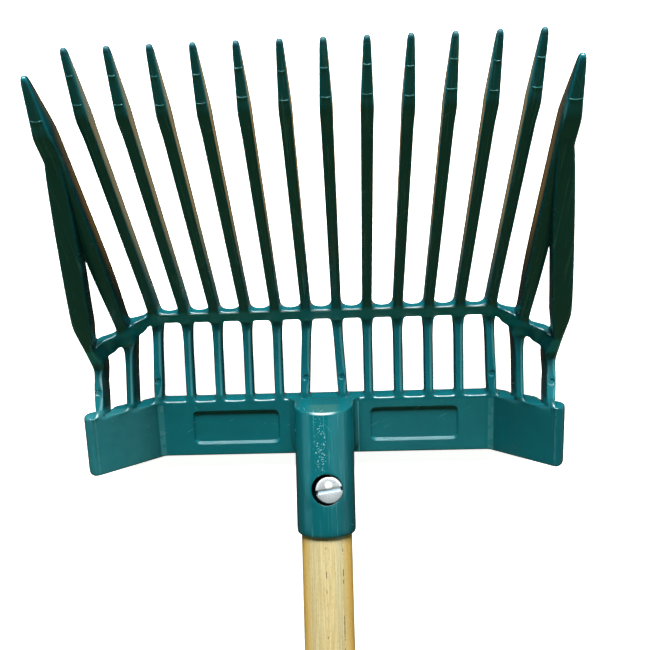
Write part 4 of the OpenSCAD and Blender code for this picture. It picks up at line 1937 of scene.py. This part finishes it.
@dataclass
class Socket:
    """The socket of the handle, filleted onto the plate, with the screw's recess and the nut's pad."""

    sizes: ForkSizes
    skirt: float = 4.2
    patch: float = 13.0
    fillet_run: float = 3.8
    mouth_round: float = 3.6
    bore_depth: float = 15.0
    top_edge: float = 1.3
    top_row: float = -4.0
    front_row: float = -22.0
    side_row: float = -20.0
    side_foot: float = 0.8
    side_angles: tuple[float, ...] = (62.0, 76.0, 90.0)
    recess_profile: Profile = ((2.35, 0.0), (0.7, 0.0), (0.1, 0.15), (0.0, 0.9), (0.0, 4.5))
    pad_profile: Profile = ((1.6, -12.2), (0.5, -14.6), (0.0, -16.5))
    pad_edge: float = 0.7
    pad_count: int = 48
    levels: int = 2

    def patch_steps(self) -> list[float]:
        """List how far the lines that meet the round patch of the recess lie from its middle."""
        steps = [self.patch * math.tan(math.radians(a)) for a in (15, 30, 45)]
        return [*(-step for step in reversed(steps)), 0.0, *steps]

    def angles(self) -> list[float]:
        """List the angles of the front's columns in degrees, from left to right."""
        near = [math.degrees(step / self.sizes.socket_r) for step in self.patch_steps()]
        return [*(-a for a in reversed(self.side_angles)), *near, *self.side_angles]

    def heights(self) -> list[float]:
        """List the heights of the rows below the plate's top, from the mouth up."""
        patch = [step - self.sizes.screw_drop for step in self.patch_steps()]
        return [self.mouth_round - self.sizes.socket_len, *patch, self.front_row]

    def plate_z(self, along: float) -> float:
        """Give the height of the plate's front over the handle's axis."""
        return -self.sizes.plate_drop + along * math.sin(math.radians(self.sizes.plate_tilt))

    def level(self, along: float, z: float) -> float:
        """Give the place up the handle of a plane square to the plate."""
        t = math.radians(self.sizes.plate_tilt)
        return along / math.cos(t) - (z + self.sizes.plate_drop) * math.tan(t)

    def ring(self, row: int) -> list[Vector]:
        """Give a row's points from the back of the left side, over the front, to the back of the right side.

        Args:
            row: The row, counted up from the mouth.

        Returns:
            The row's points in the handle's frame.
        """
        s = self.sizes
        heights = self.heights()
        tops = (self.top_row, -self.top_edge, 0.0)
        slanted = row >= len(heights)
        along = tops[row - len(heights)] if slanted else heights[row]
        front = []
        for a in self.angles():
            x, z = s.socket_r * math.sin(math.radians(a)), s.socket_r * math.cos(math.radians(a))
            front.append(Vector((x, self.level(along, z) if slanted else along, z)))
        side = []
        beside_plate = row >= len(heights) - 2
        if beside_plate:
            foot = row == len(heights) - 2
            lift = along if slanted else (self.side_foot - s.plate_h if foot else self.side_row)
            low = self.plate_z(lift)
            r = self.skirt
            shape = [(0, 0.45 * low), (0, low + r), (0.3 * r, low + 0.3 * r), (r, low), (r + 1.2, low - 1.2)]
            for out, z in shape:
                side.append(Vector((s.socket_r + out, self.level(lift, z), z)))
        else:
            y = -s.plate_h - self.fillet_run if row == len(heights) - 3 else along
            for k in range(1, 6):
                a = math.radians(90 + 18 * k)
                side.append(Vector((s.socket_r * math.sin(a), y, s.socket_r * math.cos(a))))
        left = [Vector((-p.x, p.y, p.z)) for p in reversed(side)]
        return left + front + side

    def build(self) -> Piece:
        """Build the socket as one rounded mesh.

        Returns:
            The socket's object.
        """
        bm = bmesh.new()
        rows = [[bm.verts.new(p) for p in self.ring(r)] for r in range(len(self.heights()) + 3)]
        width = len(rows[0])
        split = len(self.heights()) - 2
        for r, row in enumerate(rows):
            if r < split:
                bm.verts.remove(row[-1])
                row[-1] = row[0]
        patch = range(1, 7)
        middle = width // 2
        for r in range(len(rows) - 1):
            for c in range(width - 1):
                if r in patch and middle - 3 <= c < middle + 3:
                    continue
                bm.faces.new([rows[r][c], rows[r][c + 1], rows[r + 1][c + 1], rows[r + 1][c]])
            if r >= split:
                bm.faces.new([rows[r][width - 1], rows[r][0], rows[r + 1][0], rows[r + 1][width - 1]])
        bm.faces.new([rows[split - 1][0], rows[split][0], rows[split][width - 1]])
        self.close_top(bm, rows[-1])
        self.close_mouth(bm, rows[0][:-1])
        self.cut_recess(bm, rows, middle)
        return subdivide(placed_object("handle_socket", bm), self.levels)

    def close_top(self, bm: Mesh, rim: list[Corner]) -> None:
        """Close the socket's flat end, which lies level with the plate's top.

        Args:
            bm: The socket's mesh.
            rim: The loop round the end.
        """
        middle = Vector((0, self.level(0, 2.0), 2.0))
        inner = []
        for v in rim:
            away = middle - v.co
            inner.append(bm.verts.new(v.co + away.normalized() * min(self.top_edge, away.length / 3)))
        count = len(rim)
        join_loops(bm, rim, inner)
        for n in range(count // 2 - 1):
            bm.faces.new([inner[n], inner[n + 1], inner[count - 2 - n], inner[count - 1 - n]])
        bm.faces.new(inner[count // 2 - 1:count // 2 + 2])

    def close_mouth(self, bm: Mesh, rim: list[Corner]) -> None:
        """Round the socket's mouth and sink its bore.

        Args:
            bm: The socket's mesh.
            rim: The loop over the mouth.
        """
        s = self.sizes
        mouth = -s.socket_len
        profile = [(s.socket_r, mouth), (s.bore_r + 0.4, mouth), (s.bore_r, mouth + 0.6),
                   (s.bore_r, mouth + self.bore_depth)]
        loop = rim
        for radius, y in profile:
            lower = []
            for v in rim:
                flat = Vector((v.co.x, 0, v.co.z)).normalized() * radius
                lower.append(bm.verts.new((flat.x, y, flat.z)))
            join_loops(bm, lower, loop)
            loop = lower
        bm.faces.new(loop)

    def cut_recess(self, bm: Mesh, rows: list[list[Corner]], middle: int) -> None:
        """Fill the patch left in the front with the recess of the screw's head.

        Args:
            bm: The socket's mesh.
            rows: The socket's rows of points.
            middle: The column in the middle of the front.
        """
        s = self.sizes
        low, high, left, right = 1, 7, middle - 3, middle + 3
        edge = [rows[low][c] for c in range(left, right)] + [rows[r][right] for r in range(low, high)]
        edge += [rows[high][c] for c in range(right, left, -1)]
        edge += [rows[r][left] for r in range(high, low, -1)]
        floor = s.socket_r - s.head_sunk - s.head_h + 0.4
        loop = edge
        for grow, drop in self.recess_profile:
            ring = []
            for k in range(len(edge)):
                a = math.radians(225 + 15 * k)
                point = s.recess_middle + Vector((math.cos(a), math.sin(a), 0)) * (s.recess_r + grow)
                point.z = max(math.sqrt(s.socket_r ** 2 - point.x ** 2) - drop, floor)
                ring.append(bm.verts.new(point))
            join_loops(bm, loop, ring)
            loop = ring
        bm.faces.new(loop)

    def pad(self) -> Piece:
        """Build the round pad behind the socket, with the nut's pocket in its face.

        Returns:
            The pad's object.
        """
        s = self.sizes
        face = s.nut_low
        pocket = s.nut_flats / 2 + s.nut_clear
        sixth = math.pi / 6
        bm = bmesh.new()
        loops = [hex_loop(bm, s, self.pad_count, (s.nut_pad_r + grow, s.nut_pad_r + grow), z)
                 for grow, z in (*self.pad_profile, (0.0, face + self.pad_edge), (-self.pad_edge, face))]
        loops += [hex_loop(bm, s, self.pad_count, (pocket + grow, (pocket + grow) / math.cos(sixth)), z)
                  for grow, z in ((0.35, face), (0.0, face + 0.4), (0.0, face + s.nut_h))]
        join_loops(bm, *loops)
        bm.faces.new(loops[-1])
        bm.faces.new(list(reversed(loops[0])))
        obj = placed_object("nut_pad", bm)
        obj.data.set_sharp_from_angle(angle=math.radians(40))
        return obj

    def dress(self, scuffed: Material, plastic: Material) -> None:
        """Build the socket and its pad and give each its finish."""
        give_finish(self.build(), scuffed, Slot.HEAD, "socket")
        give_finish(self.pad(), plastic, Slot.HEAD)


def hex_loop(bm: Mesh, sizes: ForkSizes, count: int, reach: tuple[float, float], z: float) -> list[Corner]:
    """Add a six-sided outline round the screw's axis.

    Args:
        bm: The mesh, in millimetres in the handle's frame.
        sizes: The fork's sizes.
        count: How many points it has.
        reach: The distances of its flats and, at most, of its corners, which are equal in a round outline.
        z: Its height.

    Returns:
        The outline's points.
    """
    sixth = math.pi / 6
    loop = []
    for k in range(count):
        a = math.tau * k / count
        radius = min(reach[0] / math.cos((a + sixth) % (2 * sixth) - sixth), reach[1])
        x, y = radius * math.cos(a + sixth), radius * math.sin(a + sixth)
        loop.append(bm.verts.new((sizes.screw_x + x, y - sizes.screw_drop, z)))
    return loop


def lathe(bm: Mesh, profile: list[tuple[float, float]], count: int, centre: Vector) -> None:
    """Turn a profile round an axis that points out of the fork's front.

    Args:
        bm: The mesh, in millimetres in the handle's frame.
        profile: Radius and height of each point, from one end of the axis to the other.
        count: How many sides the turned shape has.
        centre: A point on the axis at height zero.
    """
    loops: list[list[Corner]] = []
    for radius, height in profile:
        if radius == 0:
            loops.append([bm.verts.new(centre + Vector((0, 0, height)))])
            continue
        loops.append([bm.verts.new(centre + Vector((radius * math.cos(math.tau * k / count),
                                                    radius * math.sin(math.tau * k / count), height)))
                      for k in range(count)])
    for low, high in zip(loops, loops[1:]):
        for n in range(count):
            m = (n + 1) % count
            ring = [low[n % len(low)], low[m % len(low)], high[m % len(high)], high[n % len(high)]]
            bm.faces.new(list(dict.fromkeys(ring)))


@dataclass
class FixingScrew:
    """The slotted cheese-head screw through the socket and the handle."""

    sizes: ForkSizes
    bevel: float = 0.22
    count: int = 64

    def build(self) -> Piece:
        """Turn the screw, cut its slot and break its edges.

        Returns:
            The screw's object.
        """
        s = self.sizes
        top = s.socket_r - s.head_sunk
        seat = top - s.head_h
        end = s.nut_low
        head_r = s.head_d / 2
        centre = Vector((s.screw_x, -s.screw_drop, 0))
        bm = bmesh.new()
        shank = [(0, end), (s.screw_r - 0.7, end), (s.screw_r, end + 0.7), (s.screw_r, seat)]
        head = [(head_r, seat), (head_r, top - s.head_chamfer), (head_r - s.head_chamfer, top), (0, top)]
        lathe(bm, shank + head, self.count, centre)
        screw = placed_object("slotted_screw", bm)
        cutter = self.slot_cutter(top)
        cut = screw.modifiers.new("slot", "BOOLEAN")
        cut.object = cutter
        cut.solver = "EXACT"
        soft = screw.modifiers.new("edges", "BEVEL")
        soft.width = self.bevel * MM
        soft.segments = 2
        soft.limit_method = "ANGLE"
        soft.angle_limit = math.radians(30)
        settle(screw)
        bpy.data.objects.remove(cutter)
        screw.data.set_sharp_from_angle(angle=math.radians(35))
        return screw

    def slot_cutter(self, top: float) -> Piece:
        """Make the block that cuts the slot.

        Args:
            top: The height of the head's top.

        Returns:
            The block's object.
        """
        s = self.sizes
        bm = bmesh.new()
        bmesh.ops.create_cube(bm, size=1.0)
        turn = Matrix.Rotation(math.radians(s.slot_turn), 3, "Z")
        for v in bm.verts:
            point = Vector((v.co.x * 2 * s.head_d, v.co.y * s.slot_w, v.co.z * 2 * s.slot_depth))
            v.co = s.place(turn @ point + Vector((s.screw_x, -s.screw_drop, top)))
        return mesh_object("slot_cutter", bm)

    def dress(self, material: Material) -> None:
        """Build the screw and give it its finish."""
        give_finish(self.build(), material, Slot.STEEL, "fixing_screw")


@dataclass
class HexNut:
    """The hexagon nut in the pad behind the socket."""

    sizes: ForkSizes
    corner_cut: float = 0.6
    bore_clear: float = 0.05
    count: int = 48

    def build(self) -> Piece:
        """Build the nut with its corners turned off at both faces.

        Returns:
            The nut's object.
        """
        s = self.sizes
        low, high = s.nut_low, s.nut_low + s.nut_h
        flats = s.nut_flats / 2
        corners = flats / math.cos(math.pi / 6)
        bore = s.screw_r + self.bore_clear
        turned = flats - 0.1
        outline = [(bore, low + 0.5), (bore + 0.5, low), (turned, low), (corners, low + self.corner_cut),
                   (corners, high - self.corner_cut), (turned, high), (bore, high)]
        bm = bmesh.new()
        loops = [hex_loop(bm, s, self.count, (flats, limit), z) for limit, z in outline]
        join_loops(bm, *loops, loops[0])
        nut = placed_object("hexagon_nut", bm)
        nut.data.set_sharp_from_angle(angle=math.radians(25))
        return nut

    def dress(self, material: Material) -> None:
        """Build the nut and give it its finish."""
        give_finish(self.build(), material, Slot.STEEL, "nut")


class Handle:
    """The wooden handle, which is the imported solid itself."""

    def dress(self, material: Material) -> None:
        """Give the handle its finish.

        Args:
            material: The finish.
        """
        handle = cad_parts["handle"]
        handle.data.materials.clear()
        handle.data.materials.append(material)
        LOG.info("handle: %d faces", len(handle.data.polygons))


@dataclass
class Studio:
    """A pale floor, soft light and a camera at the photograph's viewing angle."""

    sizes: ForkSizes
    eye: Triple = (16.2, 32.79, 386.17)
    pitch: float = -1.3
    yaw: float = -2.1
    roll: float = 1.53
    focal_px: float = 690.0
    image_px: float = 650.0
    wall_r: float = 9.0
    floor_colour: str = "#f7f4ec"
    floor_glow: float = 0.93
    floor_gap: float = 0.5
    room: str = "#3f3f35"
    warm_wall: str = "#5c7350"
    ground: str = "#c8994e"
    ground_light: float = 2.0

    def camera(self) -> None:
        """Set the camera where the photograph was taken from."""
        data = bpy.data.cameras.new("camera")
        data.sensor_fit = "HORIZONTAL"
        data.lens = self.focal_px / self.image_px * data.sensor_width
        data.clip_start = 0.01
        obj = bpy.data.objects.new("camera", data)
        turn = Matrix.Identity(3)
        for angle, axis in ((self.roll, "Z"), (self.pitch, "X"), (self.yaw, "Y")):
            turn = turn @ Matrix.Rotation(math.radians(angle), 3, axis)
        eye = Matrix.Translation(self.sizes.place(Vector(self.eye)))
        obj.matrix_world = eye @ turn.transposed().to_4x4()
        bpy.context.scene.collection.objects.link(obj)
        bpy.context.scene.camera = obj

    def floor(self) -> None:
        """Lay the pale floor under the fork."""
        bm = bmesh.new()
        bmesh.ops.create_grid(bm, x_segments=1, y_segments=1, size=self.wall_r)
        obj = mesh_object("floor", bm)
        mat, shader, _ = new_finish("pale_floor")
        fill(shader, {"Base Color": self.floor_colour, "Roughness": 0.8, "Emission Color": "#ffffff",
                      "Emission Strength": self.floor_glow})
        obj.data.materials.append(mat)
        obj.location.z = -self.floor_gap * MM
        obj.visible_glossy = False
        obj.visible_diffuse = False
        self.backdrop(mat)

    def backdrop(self, material: Material) -> None:
        """Stand a pale round wall at the floor's edge, which takes no part in the lighting.

        Args:
            material: The floor's finish.
        """
        bm = bmesh.new()
        r = self.wall_r
        bmesh.ops.create_cone(bm, segments=64, radius1=r, radius2=r, depth=2 * r)
        obj = mesh_object("backdrop", bm)
        obj.data.materials.append(material)
        obj.visible_glossy = False
        obj.visible_diffuse = False
        obj.visible_shadow = False

    def light(self, name: str, place: Triple, size: tuple[float, float], power: float, colour: str,
              show: Show = Show.ALL) -> None:
        """Hang one soft box that faces the head.

        Args:
            name: The light's name.
            place: Where it hangs from the head's middle, in metres.
            size: Its width and height in metres.
            power: Its power in watts.
            colour: Its colour.
            show: Which part of the finish it lights.
        """
        data = bpy.data.lights.new(name, "AREA")
        data.shape = "RECTANGLE"
        data.size, data.size_y = size
        data.energy = power
        data.color = linear(colour)[:3]
        obj = bpy.data.objects.new(name, data)
        middle = self.sizes.place(Vector((0, 30, 20)))
        obj.location = middle + Vector(place)
        obj.rotation_mode = "QUATERNION"
        obj.rotation_quaternion = Vector(place).to_track_quat("Z", "Y")
        obj.visible_diffuse = show != Show.GLOSS
        obj.visible_glossy = show != Show.DIFFUSE
        bpy.context.scene.collection.objects.link(obj)

    def sky(self) -> None:
        """Surround the fork with a dim room over a warm ground that only the outer tines mirror."""
        world = bpy.data.worlds.new("studio")
        world.use_nodes = True
        tree = world.node_tree
        way = Place(add_node(tree, "ShaderNodeTexCoord").outputs["Generated"])
        across, ahead = way @ X, way @ Y
        near = ahead.band(0.05, 0.2) * ahead.band(0.52, 0.46)
        aside = abs(across).band(0.16, 0.25) * across.band(-0.36, -0.3)
        ground = (way @ Z).band(-0.6, -0.9) * aside * near
        walls = ahead.band(-0.2, -0.8).paint(self.room, self.warm_wall)
        wood = [self.ground_light * c for c in linear(self.ground)]
        fill(tree.nodes["Background"], {"Color": ground.paint(walls, wood)})
        bpy.context.scene.world = world

    def build(self) -> None:
        """Set up the floor, the lights, the sky and the camera."""
        scene = bpy.context.scene
        scene.view_settings.view_transform = "Standard"
        self.sky()
        self.floor()
        self.light("tip_side", (0.0, 1.14, 0.9), (1.0, 0.45), 54, "#ffffff")
        self.light("right_side", (0.72, 1.15, 0.48), (0.8, 0.35), 3, "#f4f8ff", Show.DIFFUSE)
        self.light("left_side", (-0.72, 1.15, 0.48), (0.8, 0.35), 2, "#f4f8ff", Show.DIFFUSE)
        self.light("tip_gloss", (0.0, 1.32, 0.66), (1.6, 0.2), 42, "#ffffff", Show.GLOSS)
        self.light("right_window", (1.23, 0.1, 0.86), (1.2, 1.9), 10.0, "#9fe6ee", Show.GLOSS)
        self.light("right_wall", (1.4, -0.33, 0.06), (0.9, 0.7), 0.6, "#e8f0ee", Show.GLOSS)
        self.light("left_window", (-1.35, 0.1, 0.36), (1.2, 0.75), 3.4, "#9fe6ee", Show.GLOSS)
        self.camera()


def main() -> None:
    """Build the fork's pieces in order, dress them and light them."""
    logging.basicConfig(level=logging.INFO, format="%(message)s")
    sizes = ForkSizes()
    plastic = MouldedPolypropylene(sizes).material()
    # The witness lines' paler colours are a painted highlight where the lines catch the light.
    pale = MouldedPolypropylene(sizes, "paled_polypropylene", "#5fb0b4", "#3f9297").material()
    steel = ZincPlatedSteel(sizes).material()
    Head(sizes).dress(plastic)
    WitnessLines(sizes).dress(pale)
    Socket(sizes).dress(SocketPolypropylene(sizes).material(), plastic)
    FixingScrew(sizes).dress(steel)
    HexNut(sizes).dress(steel)
    Handle().dress(TurnedAsh(sizes).material())
    Studio(sizes).build()


if __name__ == "__main__":
    main()
